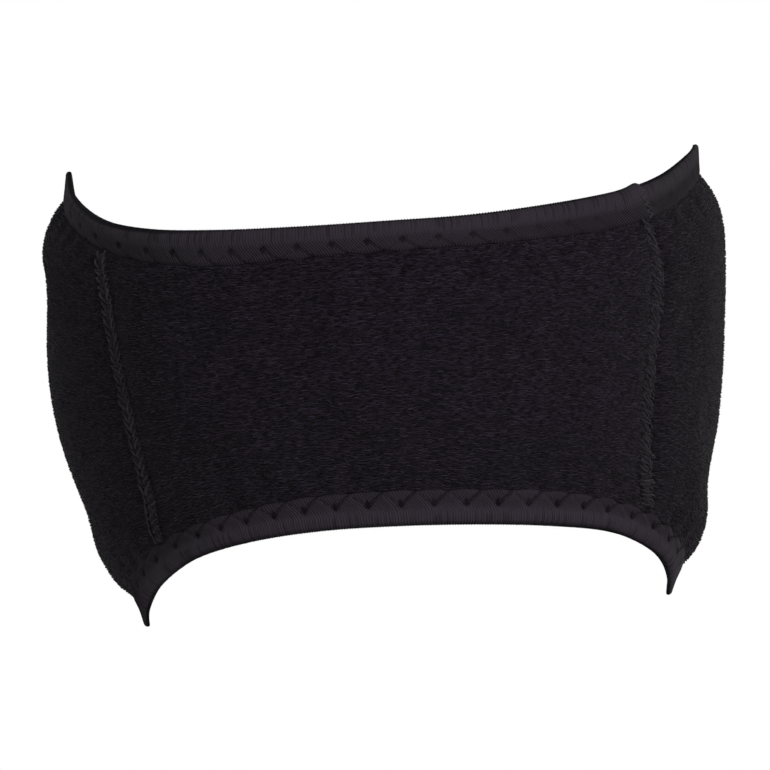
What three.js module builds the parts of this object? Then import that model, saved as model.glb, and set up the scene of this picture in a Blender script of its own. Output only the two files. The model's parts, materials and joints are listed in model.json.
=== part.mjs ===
// Patella strap: a padded plush band for the knee, in the form it takes when it is worn.
// Millimetres. +Z points up the leg, the near side faces -Y and +X is to the right of it.
// The origin is on the axis of the knee, at mid height of the band's sides.
import * as THREE from "three";

// Passage for the knee, an oval that widens upwards and swells at mid height.
const KNEE_HALF_WIDTH = 54.9;
const KNEE_HALF_DEPTH = 52.7;
const KNEE_TAPER = 0.103;
const BARREL = 4.7;

// Band. The sides are the tallest stretch, where the band reaches round the knee's flanks.
const SIDE_HEIGHT = 91;
const PANEL_THICKNESS = 7;
const PRESSED_EDGE = 0.8;
const SHOULDER = 12;

// Elastic tape folded over both edges.
const TAPE = 1;
const TOP_TAPE_WIDTH = 6.2;
const BOTTOM_TAPE_WIDTH = 6.6;
const JOIN_ANGLE = 51.2;
const JOIN_LIFT = 0.6;
const JOIN_LENGTH = 7;

// Upright seams between the panels.
const SEAM_WIDTH = 2.8;
const SEAM_HEIGHT = 0.9;
const GROOVE_DEPTH = 1.3;
const GROOVE_REACH = 4.5;

// Hook closure behind the knee.
const TAB_LENGTH = 64;
const TAB_HEIGHT = 34;
const TAB_THICKNESS = 2;
const TAB_CORNER = 9;
const TAB_SHIFT = 8;
const TAB_RISE = 2;

// Clearance between pieces that touch, and the angle between two sections of the band.
const GAP = 0.3;
const SECTION_ANGLE = 6;

const halfSide = SIDE_HEIGHT / 2;
const edgeThickness = 2 * TAPE + 2 * GAP + PRESSED_EDGE;

// The two edges by angle from the middle of the near side, as shares of half the side height, and
// how wide each tape shows there, as a share of its width. The far side repeats the near one.
const EDGE_ROWS = [
  { angle: -90, top: 1.015, bottom: -1.004, topTape: 0.84, bottomTape: 0.88 },
  { angle: -76, top: 0.895, bottom: -0.915, topTape: 0.78, bottomTape: 0.84 },
  { angle: -60, top: 0.768, bottom: -0.79, topTape: 0.82, bottomTape: 0.84 },
  { angle: -45, top: 0.705, bottom: -0.684, topTape: 1.03, bottomTape: 0.88 },
  { angle: -30, top: 0.679, bottom: -0.62, topTape: 1.1, bottomTape: 0.94 },
  { angle: -15, top: 0.671, bottom: -0.588, topTape: 0.98, bottomTape: 1.02 },
  { angle: 0, top: 0.674, bottom: -0.584, topTape: 0.93, bottomTape: 1.03 },
  { angle: 15, top: 0.682, bottom: -0.596, topTape: 0.94, bottomTape: 1.02 },
  { angle: 30, top: 0.712, bottom: -0.622, topTape: 1.03, bottomTape: 1.02 },
  { angle: 45, top: 0.757, bottom: -0.667, topTape: 1.1, bottomTape: 0.9 },
  { angle: 60, top: 0.826, bottom: -0.76, topTape: 1.04, bottomTape: 0.85 },
  { angle: 76, top: 0.928, bottom: -0.9, topTape: 0.97, bottomTape: 0.83 },
  { angle: 90, top: 0.982, bottom: -0.988, topTape: 0.9, bottomTape: 0.88 },
];

// The angles of the two seams by height, which is a share of half the side height.
const SEAM_ROWS = [
  { height: -0.62, left: -52.9, right: 53.8 },
  { height: -0.4, left: -49.9, right: 50 },
  { height: -0.2, left: -49.5, right: 49.5 },
  { height: 0, left: -49.9, right: 50.5 },
  { height: 0.2, left: -51.3, right: 51.2 },
  { height: 0.42, left: -53.5, right: 51.7 },
  { height: 0.62, left: -57.2, right: 51.6 },
];

// How far the band leans to one side by height, as shares of the panel thickness.
const LEAN_ROWS = [
  { height: -1, lean: 0.06 },
  { height: -0.85, lean: 0.1 },
  { height: -0.68, lean: 0.02 },
  { height: -0.42, lean: -0.1 },
  { height: 0, lean: -0.2 },
  { height: 0.5, lean: -0.12 },
  { height: 0.85, lean: -0.14 },
  { height: 1, lean: 0 },
];

// A smooth value from a table at one place. It is level at the first and last rows.
function lookUp(rows, along, value, place) {
  const last = rows.length - 1;
  const here = THREE.MathUtils.clamp(place, rows[0][along], rows[last][along]);
  const next = Math.min(last, Math.max(1, rows.findIndex((row) => row[along] >= here)));
  const slopeAt = (index) => {
    if (index === 0 || index === last) return 0;
    const rise = rows[index + 1][value] - rows[index - 1][value];
    return rise / (rows[index + 1][along] - rows[index - 1][along]);
  };
  const start = rows[next - 1];
  const end = rows[next];
  const span = end[along] - start[along];
  const t = (here - start[along]) / span;
  const ease = t * t * (3 - 2 * t);
  const startSlope = slopeAt(next - 1) * span * t * (1 - t) * (1 - t);
  const endSlope = slopeAt(next) * span * t * t * (1 - t);
  return start[value] * (1 - ease) + end[value] * ease + startSlope - endSlope;
}

// Angles past the side of the knee take the height of the near side's mirror image.
function nearAngle(angle) {
  if (angle < -90) return -180 - angle;
  return angle > 90 ? 180 - angle : angle;
}

const topAt = (angle) => halfSide * lookUp(EDGE_ROWS, "angle", "top", nearAngle(angle));
const bottomAt = (angle) => halfSide * lookUp(EDGE_ROWS, "angle", "bottom", nearAngle(angle));
const tapeShareAt = (tape, angle) => lookUp(EDGE_ROWS, "angle", tape, nearAngle(angle));
const topBorderAt = (angle) => topAt(angle) - TOP_TAPE_WIDTH * tapeShareAt("topTape", angle);
const bottomBorderAt = (angle) => bottomAt(angle) + BOTTOM_TAPE_WIDTH * tapeShareAt("bottomTape", angle);
const seamAt = (side, height) => lookUp(SEAM_ROWS, "height", side, height / halfSide);

// The degrees that an arc of one length takes round the band.
const meanRadius = (KNEE_HALF_WIDTH + KNEE_HALF_DEPTH) / 2 + BARREL + PANEL_THICKNESS;
const degrees = (length) => THREE.MathUtils.radToDeg(length / meanRadius);
const halfGap = degrees(GAP / 2);
const farEnd = 180 - halfGap;

// A point of the wall: its angle, how far it is out from the skin side, and its height.
function wallPoint(angle, out, height) {
  const share = height / halfSide;
  const growth = KNEE_TAPER * height + BARREL * (1 - share * share) + out;
  const lean = PANEL_THICKNESS * lookUp(LEAN_ROWS, "height", "lean", share);
  const turn = THREE.MathUtils.degToRad(angle);
  const x = (KNEE_HALF_WIDTH + growth) * Math.sin(turn) + lean;
  const y = -(KNEE_HALF_DEPTH + growth) * Math.cos(turn);
  return new THREE.Vector3(x, y, height);
}

// The panel's thickness: thin beside the tapes, full behind the shoulders, drawn in at the seams.
function panelThickness(angle, height) {
  const fromTop = topBorderAt(angle) - GAP - height;
  const fromBottom = height - bottomBorderAt(angle) - GAP;
  const inward = THREE.MathUtils.clamp(Math.min(fromTop, fromBottom) / SHOULDER, 0, 1);
  const swell = 1 - (1 - inward) * (1 - inward);
  const toSeam = Math.min(
    Math.abs(angle - seamAt("left", height)),
    Math.abs(angle - seamAt("right", height)),
  );
  const groove = GROOVE_DEPTH * Math.exp(-((toSeam / degrees(GROOVE_REACH)) ** 2));
  return edgeThickness + (PANEL_THICKNESS - edgeThickness - groove) * swell;
}

// A closed solid lofted through sections. Each section is a ladder: a row of points down its face
// and as many down its back, joined across at both ends. Each quad is cut from its lower corner in
// one section to its upper corner in the next, so that neighbours cut alike keep their clearance.
function loft(sections) {
  const rungs = sections[0].face.length;
  const size = 2 * rungs;
  const points = sections.flatMap(({ face, back }) => [...face, ...[...back].reverse()]);
  const triangles = [];
  for (let section = 0; section + 1 < sections.length; section += 1) {
    for (let i = 0; i < size; i += 1) {
      const a = section * size + i;
      const b = section * size + ((i + 1) % size);
      if (points[b].z >= points[a].z) {
        triangles.push(a, a + size, b + size, a, b + size, b);
      } else {
        triangles.push(a, a + size, b, b, a + size, b + size);
      }
    }
  }
  const last = (sections.length - 1) * size;
  for (let rung = 0; rung + 1 < rungs; rung += 1) {
    const [a, b] = [rung, rung + 1];
    const [c, d] = [size - 2 - rung, size - 1 - rung];
    triangles.push(a, b, c, a, c, d);
    triangles.push(last + a, last + c, last + b, last + a, last + d, last + c);
  }
  const geometry = new THREE.BufferGeometry().setFromPoints(points);
  geometry.setIndex(triangles);
  geometry.computeVertexNormals();
  return geometry;
}

// Evenly spaced numbers from one to another, both included.
function spread(from, to, count) {
  return Array.from({ length: count + 1 }, (_, i) => from + ((to - from) * i) / count);
}

// A panel's section at one angle: pressed tongues in both tapes and the padded wall between.
const WALL_ROWS = 9;
const SWELL_START = 0.4;

function panelSection(angleAt) {
  const topAngle = angleAt(halfSide);
  const bottomAngle = angleAt(-halfSide);
  const upper = topBorderAt(topAngle) - GAP;
  const lower = bottomBorderAt(bottomAngle) + GAP;
  const point = (out, height) => wallPoint(angleAt(height), out, height);
  // Rows crowd towards the tapes, where the shoulders curve most.
  const rows = spread(-1, 1, WALL_ROWS).map((share) => {
    const crowded = Math.sin((share * Math.PI) / 2);
    return THREE.MathUtils.lerp(lower + SWELL_START, upper - SWELL_START, (1 + crowded) / 2);
  });
  const bottomTongue = [bottomAt(bottomAngle) + TAPE + GAP, lower];
  const topTongue = [upper, topAt(topAngle) - TAPE - GAP];
  const side = (tongueOut, wallOut) => [
    ...bottomTongue.map((height) => point(tongueOut, height)),
    ...rows.map((height) => point(wallOut(height), height)),
    ...topTongue.map((height) => point(tongueOut, height)),
  ];
  return {
    face: side(TAPE + GAP + PRESSED_EDGE, (height) => panelThickness(angleAt(height), height)),
    back: side(TAPE + GAP, () => 0),
  };
}

// The angles of the sections between two places. All pieces share them, so that they lie parallel.
function sectionAngles(from, to) {
  const first = Math.ceil(from / SECTION_ANGLE + 1 / 3);
  const last = Math.floor(to / SECTION_ANGLE - 1 / 3);
  const between = Array.from({ length: last - first + 1 }, (_, i) => (first + i) * SECTION_ANGLE);
  return [from, ...between, to];
}

// Sections beside a seam keep to its line, and stand closer together in its groove.
const BESIDE_SEAM = [0, 0.25, 0.5, 0.85, 1.3, 1.9];

function besideSeam(side, direction) {
  return BESIDE_SEAM.map((share) => {
    const offset = direction * (halfGap + share * degrees(GROOVE_REACH));
    return (height) => seamAt(side, height) + offset;
  });
}

// Further off, they turn upright little by little.
const UPRIGHT_AFTER = 30;

function upright(angle) {
  return (height) => {
    const lines = ["left", "right"].map((side) => {
      const slant = seamAt(side, height) - seamAt(side, 0);
      return slant * Math.max(0, 1 - Math.abs(angle - seamAt(side, 0)) / UPRIGHT_AFTER);
    });
    return angle + lines[0] + lines[1];
  };
}

function panel(start, from, to, end) {
  const inner = sectionAngles(from, to).map(upright);
  return loft([...start, ...inner, ...end].map(panelSection));
}

// A tape's section: a strip folded over the edge, open towards the panel that it grips.
const FOLD_STEPS = 4;

function tapeSection(angle, edge, border, inward) {
  const middle = edgeThickness / 2;
  const centre = edge + inward * middle;
  const layer = (radius) => [
    wallPoint(angle, middle + radius, border),
    ...spread(0, Math.PI, FOLD_STEPS).map((turn) => {
      const out = middle + radius * Math.cos(turn);
      return wallPoint(angle, out, centre - inward * radius * Math.sin(turn));
    }),
    wallPoint(angle, middle - radius, border),
  ];
  const layers = [layer(middle), layer(middle - TAPE)];
  const [face, back] = inward < 0 ? layers : layers.reverse();
  return { face, back };
}

function tape(from, to, edgeAt, borderAt, inward) {
  const section = (angle) => tapeSection(angle, edgeAt(angle), borderAt(angle), inward);
  return loft(sectionAngles(from, to).map(section));
}

// A seam's ridge follows its line from one tape to the other, on the floor of the groove.
const RIDGE_STEPS = 12;
const RIDGE_PROFILE = [
  { across: 0.5, rise: 0 },
  { across: 0.42, rise: 0.7 },
  { across: 0.2, rise: 1 },
];

function seamRidge(side) {
  const from = bottomBorderAt(seamAt(side, -halfSide)) + 2 * GAP;
  const to = topBorderAt(seamAt(side, halfSide)) - 2 * GAP;
  return loft(
    spread(from, to, RIDGE_STEPS).map((height) => {
      const slope = (direction) => {
        return RIDGE_PROFILE.map(({ across, rise }) => {
          const angle = seamAt(side, height) + direction * degrees(across * SEAM_WIDTH);
          const out = panelThickness(angle, height) + GAP + rise * SEAM_HEIGHT;
          return wallPoint(angle, out, height);
        });
      };
      return { face: slope(1), back: slope(-1) };
    }),
  );
}

// The closure lies on both panel ends and follows them, with rounded corners at each end.
const TAB_ROWS = 7;

function hookTab() {
  const middle = (topAt(180) + bottomAt(180)) / 2 + TAB_RISE;
  const corner = spread(0, 1, 4).map((share) => TAB_CORNER * (1 - Math.cos((share * Math.PI) / 2)));
  const straight = spread(TAB_CORNER, TAB_LENGTH - TAB_CORNER, 8).slice(1, -1);
  const along = [...corner, ...straight, ...corner.map((place) => TAB_LENGTH - place).reverse()];
  return loft(
    along.map((place) => {
      const angle = 180 + degrees(place - TAB_LENGTH / 2 + TAB_SHIFT);
      const intoCorner = TAB_CORNER - Math.min(place, TAB_LENGTH - place, TAB_CORNER);
      const trim = TAB_CORNER - Math.sqrt(TAB_CORNER ** 2 - intoCorner ** 2);
      const half = TAB_HEIGHT / 2 - trim;
      const under = angle > 180 ? angle - 360 : angle;
      const rows = spread(middle - half, middle + half, TAB_ROWS);
      const layer = (lift) => {
        return rows.map((height) => {
          return wallPoint(angle, panelThickness(under, height) + GAP + lift, height);
        });
      };
      return { face: layer(TAB_THICKNESS), back: layer(0) };
    }),
  );
}

const strap = new THREE.Group();

function add(name, geometry, color, roughness) {
  const material = new THREE.MeshStandardMaterial({ color, roughness, metalness: 0 });
  const mesh = new THREE.Mesh(geometry, material);
  mesh.name = name;
  strap.add(mesh);
}

const PLUSH = 0x1c171e;
const PLUSH_SHADED = 0x151318;
const PLUSH_LIT = 0x1e1c21;
const TAPE_BLACK = 0x28242c;
const THREAD = 0x242026;
const TAB_BLACK = 0x1a181b;
const PLUSH_ROUGHNESS = 0.95;
const TAPE_ROUGHNESS = 0.8;

const leftOf = (side) => besideSeam(side, -1).reverse();
const rightOf = (side) => besideSeam(side, 1);
const nearLimit = (side) => seamAt(side, 0);
const clearOfSeam = 2.9 * degrees(GROOVE_REACH);
const centreFrom = nearLimit("left") + clearOfSeam;
const centreTo = nearLimit("right") - clearOfSeam;
const centrePanel = panel(rightOf("left"), centreFrom, centreTo, leftOf("right"));
const leftPanel = panel([], -farEnd, nearLimit("left") - clearOfSeam, leftOf("left"));
const rightPanel = panel(rightOf("right"), nearLimit("right") + clearOfSeam, farEnd, []);
add("centre_panel", centrePanel, PLUSH, PLUSH_ROUGHNESS);
add("left_panel", leftPanel, PLUSH_SHADED, PLUSH_ROUGHNESS);
add("right_panel", rightPanel, PLUSH_LIT, PLUSH_ROUGHNESS);

add("left_seam", seamRidge("left"), THREAD, TAPE_ROUGHNESS);
add("right_seam", seamRidge("right"), THREAD, TAPE_ROUGHNESS);

// The main upper tape stands a little proud where it ends at the join.
function liftedTop(angle) {
  const toJoin = (JOIN_ANGLE - angle) / degrees(JOIN_LENGTH);
  return topAt(angle) + JOIN_LIFT * Math.max(0, 1 - toJoin) ** 2;
}

const topTape = tape(-farEnd, JOIN_ANGLE - halfGap, liftedTop, topBorderAt, -1);
const topTapeRight = tape(JOIN_ANGLE + halfGap, farEnd, topAt, topBorderAt, -1);
const bottomTape = tape(-farEnd, farEnd, bottomAt, bottomBorderAt, 1);
add("top_binding", topTape, TAPE_BLACK, TAPE_ROUGHNESS);
add("top_binding_right", topTapeRight, TAPE_BLACK, TAPE_ROUGHNESS);
add("bottom_binding", bottomTape, TAPE_BLACK, TAPE_ROUGHNESS);

add("hook_tab", hookTab(), TAB_BLACK, PLUSH_ROUGHNESS);

export default strap;
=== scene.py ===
"""Dresses the patella strap: plush pads, ribbed edge tapes, sewn seams, hook tab and studio."""
import json
import math

import bpy
import numpy as np
from bpy.props import FloatProperty, FloatVectorProperty, IntProperty, PointerProperty
from mathutils import Matrix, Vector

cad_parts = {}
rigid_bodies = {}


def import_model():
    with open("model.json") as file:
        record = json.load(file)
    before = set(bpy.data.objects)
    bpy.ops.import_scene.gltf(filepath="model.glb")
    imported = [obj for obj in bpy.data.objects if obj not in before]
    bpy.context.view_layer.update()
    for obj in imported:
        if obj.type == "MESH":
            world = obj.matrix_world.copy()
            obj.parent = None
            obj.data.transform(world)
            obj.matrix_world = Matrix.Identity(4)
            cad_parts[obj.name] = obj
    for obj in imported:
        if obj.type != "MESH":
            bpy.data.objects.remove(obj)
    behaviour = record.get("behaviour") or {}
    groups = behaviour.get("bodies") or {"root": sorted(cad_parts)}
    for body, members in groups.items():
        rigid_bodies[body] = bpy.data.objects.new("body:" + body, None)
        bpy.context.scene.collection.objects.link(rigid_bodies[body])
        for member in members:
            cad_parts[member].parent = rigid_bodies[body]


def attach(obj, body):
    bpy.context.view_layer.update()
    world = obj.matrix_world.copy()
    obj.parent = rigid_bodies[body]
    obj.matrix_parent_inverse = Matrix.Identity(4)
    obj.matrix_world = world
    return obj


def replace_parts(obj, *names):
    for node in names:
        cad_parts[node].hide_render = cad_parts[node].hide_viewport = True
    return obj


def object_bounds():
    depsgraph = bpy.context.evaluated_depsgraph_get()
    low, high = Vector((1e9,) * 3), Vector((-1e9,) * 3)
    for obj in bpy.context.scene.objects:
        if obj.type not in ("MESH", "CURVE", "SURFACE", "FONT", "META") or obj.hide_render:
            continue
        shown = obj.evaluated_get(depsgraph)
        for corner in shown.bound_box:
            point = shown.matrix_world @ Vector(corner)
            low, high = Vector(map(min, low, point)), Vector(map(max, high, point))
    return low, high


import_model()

CAD_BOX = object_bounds()

bl_info = {
    "name": "Patella strap",
    "version": (1, 0, 0),
    "blender": (4, 5, 0),
    "location": "3D View > Sidebar > Patella Strap",
    "description": "Builds the soft pieces of a padded knee strap and a plain studio",
    "category": "Add Mesh",
}

MM = 0.001

# Clearance between two solids of the frame, and where a pad starts to swell beside a tape.
GAP = 0.3 * MM
SWELL_START = 0.12 * MM

# The two edges by angle from the middle of the near side, as shares of half the side height, and
# how wide each tape shows there. The far side repeats the near one.
EDGE_ANGLE = (-90, -76, -60, -45, -30, -15, 0, 15, 30, 45, 60, 76, 90)
EDGE_TOP = (1.015, 0.895, 0.768, 0.705, 0.679, 0.671, 0.674, 0.682, 0.712, 0.757, 0.826, 0.928, 0.982)
EDGE_BOTTOM = (
    -1.004, -0.915, -0.79, -0.684, -0.62, -0.588, -0.584, -0.596, -0.622, -0.667, -0.76, -0.9, -0.988,
)
EDGE_TOP_TAPE = (0.84, 0.78, 0.82, 1.03, 1.1, 0.98, 0.93, 0.94, 1.03, 1.1, 1.04, 0.97, 0.9)
EDGE_BOTTOM_TAPE = (0.88, 0.84, 0.84, 0.88, 0.94, 1.02, 1.03, 1.02, 1.02, 0.9, 0.85, 0.83, 0.88)

# The angles of the two seams by height, which is a share of half the side height.
SEAM_HEIGHT = (-0.62, -0.4, -0.2, 0, 0.2, 0.42, 0.62)
SEAM_ANGLE = {
    "left": (-52.9, -49.9, -49.5, -49.9, -51.3, -53.5, -57.2),
    "right": (53.8, 50, 49.5, 50.5, 51.2, 51.7, 51.6),
}

# How far the band leans to one side by height, as shares of the panel thickness.
LEAN_HEIGHT = (-1, -0.85, -0.68, -0.42, 0, 0.5, 0.85, 1)
LEAN = (0.04, 0.08, 0.02, -0.07, -0.21, -0.09, -0.06, 0.0)

# Each pad: its node, the seams that it lies between, and its columns and rows of points.
PADS = {
    "left_pad": ("left_panel", (None, "left"), 132, 62),
    "centre_pad": ("centre_panel", ("left", "right"), 112, 58),
    "right_pad": ("right_panel", ("right", None), 132, 62),
}

# The camera's distance from the strap, its roll, how far it is moved in its own plane, how wide a
# view it has at the strap and its sensor in millimetres, and the size of both lights.
VIEW_DISTANCE = 0.9
VIEW_ROLL = math.radians(3.1)
VIEW_OFFSET = (-1.78 * MM, -0.04 * MM)
VIEW_WIDTH = 154 * MM
SENSOR_WIDTH = 36
LIGHT_SIZE = 0.5


def number(label, note, value, **settings):
    """A number for the sidebar."""
    return FloatProperty(name=label, description=note, default=value, **settings)


def length(label, note, value):
    """A length in metres for the sidebar."""
    return number(label, note, value, min=0, unit="LENGTH", precision=5)


def colour(label, note, value):
    """A colour for the sidebar, as linear red, green and blue."""
    return FloatVectorProperty(
        name=label, description=note, default=value, size=3, min=0, max=1, subtype="COLOR"
    )


class BandSizes(bpy.types.PropertyGroup):
    """Sizes of the band, the same as the solids of the frame have."""

    knee_half_width: length("Knee half width", "Half the passage's width at mid height", 54.9 * MM)
    knee_half_depth: length("Knee half depth", "Half the passage's depth at mid height", 52.7 * MM)
    knee_taper: number("Knee taper", "How much the passage widens upwards", 0.103)
    barrel: length("Barrel", "How far the passage swells at mid height", 4.7 * MM)
    side_height: length("Side height", "Height of the band at the knee's flanks", 91 * MM)
    panel_thickness: length("Pad thickness", "Thickness of the pads behind their shoulders", 7 * MM)
    pressed_edge: length("Pressed edge", "Thickness of a pad inside its tapes", 0.8 * MM)
    shoulder: length("Shoulder", "How far from a tape a pad reaches its thickness", 12 * MM)
    tape: length("Tape thickness", "Thickness of the edge tape", 1 * MM)
    top_tape_width: length("Upper tape width", "How much of the upper tape shows", 6.2 * MM)
    bottom_tape_width: length("Lower tape width", "How much of the lower tape shows", 6.6 * MM)
    groove_depth: length("Seam groove", "Depth of the groove along a seam", 1.3 * MM)
    groove_reach: length("Groove reach", "How far a seam draws the pads in", 4.5 * MM)
    join_angle: number("Tape join", "Angle of the join, in degrees", 51.2)


class PlushLook(bpy.types.PropertyGroup):
    """The looped pile on the pads."""

    loop_length: length("Loop length", "Length of a thread loop along the band", 1.3 * MM)
    loop_height: length("Loop height", "How far a loop stands off the cloth", 0.2 * MM)
    loop_wave: length("Loop wave", "How far a loop winds up and down", 0.09 * MM)
    thread_radius: length("Thread radius", "Radius of a pile thread", 0.11 * MM)
    spacing: length("Spacing", "Least distance between two loops", 0.46 * MM)
    seed: IntProperty(name="Seed", description="Changes where the loops lie", default=4)
    dark: colour("Dark thread", "Colour of the darkest loops", (0.0036, 0.0025, 0.0039))
    light: colour("Light thread", "Colour of the lightest loops", (0.0198, 0.0131, 0.0206))
    ground: colour("Ground", "Colour of the cloth under the loops", (0.0062, 0.0046, 0.0070))
    lining: colour("Lining", "Colour of the smooth inner side", (0.0095, 0.0090, 0.0105))


class TapeLook(bpy.types.PropertyGroup):
    """The ribs and the zigzag stitching of the edge tapes."""

    rib_pitch: length("Rib pitch", "Distance between two ribs", 0.6 * MM)
    rib_radius: length("Rib radius", "Radius of a rib", 0.17 * MM)
    rib_slant: length("Rib slant", "How far a rib leans over beside the pad", 2.5 * MM)
    top_pitch: length("Upper stitch pitch", "Length of a zigzag on the upper tape", 6.85 * MM)
    bottom_pitch: length("Lower stitch pitch", "Length of a zigzag on the lower tape", 6.85 * MM)
    thread_radius: length("Thread radius", "Radius of the stitching thread", 0.13 * MM)
    inner: colour("Inner half", "Colour of the tape beside the pad", (0.0172, 0.0139, 0.0185))
    outer: colour("Outer half", "Colour of the tape beside its fold", (0.0208, 0.0172, 0.0223))
    # The fold colour is painted shade along the outermost fold, and the finish also uses it for painted
    # shade in the zigzag's dimples, arms and flutes.
    fold_shade: colour("Fold", "Colour along the outermost fold", (0.0038, 0.0032, 0.0044))
    thread: colour("Thread", "Colour of the stitching thread", (0.0080, 0.0066, 0.0090))
    join_thread: colour("Join thread", "Colour of the join's stitching", (0.0190, 0.0165, 0.0200))


class SeamLook(bpy.types.PropertyGroup):
    """The threads over the two upright seams."""

    braid_pitch: length("Braid pitch", "Distance between two stitches of the left seam's braid", 1.75 * MM)
    braid_length: length("Braid length", "Length of one stitch of the braid", 2.5 * MM)
    braid_sway: length("Braid sway", "How far a stitch of the braid leans across the seam", 0.55 * MM)
    braid_half: length("Braid half", "How far each row of the braid is from the seam", 0.9 * MM)
    braid_radius: length("Braid radius", "Radius of the braid's thread", 0.29 * MM)
    strand_pitch: length("Strand pitch", "Distance between two strands of the right seam", 0.38 * MM)
    strand_length: length("Strand length", "Length of one strand", 3.0 * MM)
    strand_sway: length("Strand sway", "How far a strand swings across the seam", 1.25 * MM)
    strand_radius: length("Strand radius", "Radius of one strand of the right seam", 0.12 * MM)
    fluff_pitch: length("Fluff pitch", "Distance between two stray threads of the left seam", 0.24 * MM)
    fluff_length: length("Fluff length", "Length of a stray thread", 1.9 * MM)
    fluff_sway: length("Fluff sway", "How far a stray thread swings across the seam", 1.5 * MM)
    fluff_radius: length("Fluff radius", "Radius of a stray thread", 0.08 * MM)
    thread: colour("Thread", "Colour of the seam thread", (0.0148, 0.0123, 0.0160))


class ClosureSizes(bpy.types.PropertyGroup):
    """The hook tab behind the knee."""

    tab_length: length("Tab length", "Length round the band", 64 * MM)
    tab_height: length("Tab height", "Height of the tab", 34 * MM)
    tab_thickness: length("Tab thickness", "Thickness of the tab", 2 * MM)
    corner: length("Corner", "Radius of the tab's corners", 9 * MM)
    shift: length("Shift", "How far the tab lies off the far centre line", 8 * MM)
    rise: length("Rise", "How far the tab lies above the band's middle", 2 * MM)
    stitch: length("Stitch", "Length of one stitch", 2.4 * MM)
    cloth: colour("Cloth", "Colour of the tab", (0.0105, 0.0095, 0.0112))
    thread: colour("Thread", "Colour of the tab's stitching", (0.0230, 0.0200, 0.0240))


class StudioLook(bpy.types.PropertyGroup):
    """Floor and light."""

    floor_drop: length("Floor drop", "How far the floor is under the strap", 320 * MM)
    floor_radius: length("Floor radius", "Radius of the floor", 2.2)
    surround: number("Surround", "Brightness of the white surround", 1.0)
    key: number("Key light", "Power of the main light", 12, unit="POWER")
    side: number("Side light", "Power of the side light", 3, unit="POWER")


def smooth_table(places, values, place):
    """A smooth value from a table at each place. It is level at the first and last rows."""
    places = np.asarray(places, float)
    values = np.asarray(values, float)
    here = np.clip(place, places[0], places[-1])
    slopes = np.zeros(len(values))
    slopes[1:-1] = (values[2:] - values[:-2]) / (places[2:] - places[:-2])
    after = np.clip(np.searchsorted(places, here), 1, len(places) - 1)
    before = after - 1
    span = places[after] - places[before]
    t = (here - places[before]) / span
    ease = t * t * (3 - 2 * t)
    lean = (slopes[before] * (1 - t) - slopes[after] * t) * span * t * (1 - t)
    return values[before] * (1 - ease) + values[after] * ease + lean


def bell(distance, reach):
    """One at no distance, falling smoothly to nothing past the reach."""
    return np.exp(-((distance / reach) ** 2))


def ramp(value, low, high):
    """A smooth rise from 0 at low to 1 at high."""
    t = np.clip((value - low) / (high - low), 0, 1)
    return t * t * (3 - 2 * t)


def lumps(along, height, size, seed):
    """Soft unevenness of about -1 to 1, with bumps of about the given size."""
    draw = np.random.default_rng(seed)
    total = 0
    for _ in range(7):
        turn, phase = draw.uniform(0, 2 * math.pi, 2)
        wave = 2 * math.pi / (size * draw.uniform(1.2, 3))
        total = total + np.sin(wave * (along * math.cos(turn) + height * math.sin(turn)) + phase)
    return total / 3.5


# How far the upper tape stands proud where it ends at the join, and how far along it that starts.
JOIN_LIFT = 0.6 * MM
JOIN_LENGTH = 7 * MM

# How many degrees the join leans from the tapes' inner borders to their fold, where across the
# tapes it has its own angle, and how many degrees beside it the tapes' columns lean with it.
JOIN_SLANT = 2.3
JOIN_UPRIGHT = 1.13
JOIN_REACH = 7

# How far the far half's edges are drawn in just past the sides, how far the lower tips curl towards
# the leg, and how far down that starts and ends, as shares of half the side height.
FAR_EDGE = 2.3 * MM
EDGE_CURL = 1.2 * MM
CURL_HEIGHT = (0.77, 0.96)

# How much of its thickness the edge loses at the four tips, and how far below an edge that is thin
# the skin side still comes out to meet it.
TIP_PINCH = 0.7
PINCH_REACH = 8 * MM

# How far the end of a pad's wall reaches in under a tape.
TONGUE = 0.5 * MM

# The low relief of the pads: slow lumps, a hollow low on the band, puckers beside the tapes and the
# seams, a crease at each seam and a groove past the right one. Heights are shares of half the side
# height.
LUMP_DEPTH, LUMP_SIZE, LUMP_SEED = 0.22 * MM, 16 * MM, 11
HOLLOW_DEPTH, HOLLOW_HEIGHT, HOLLOW_REACH = 0.75 * MM, -0.58, 0.26
TAPE_PUCKER, TAPE_PUCKER_PITCH = 0.12 * MM, 6.4 * MM
SEAM_PUCKER, SEAM_PUCKER_PITCH = 0.1 * MM, 4.2 * MM
CREASE_DEPTH, CREASE_REACH = 0.3 * MM, 0.8 * MM
GROOVE_DEPTH, GROOVE_PLACE = 0.7 * MM, 2.4 * MM


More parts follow.
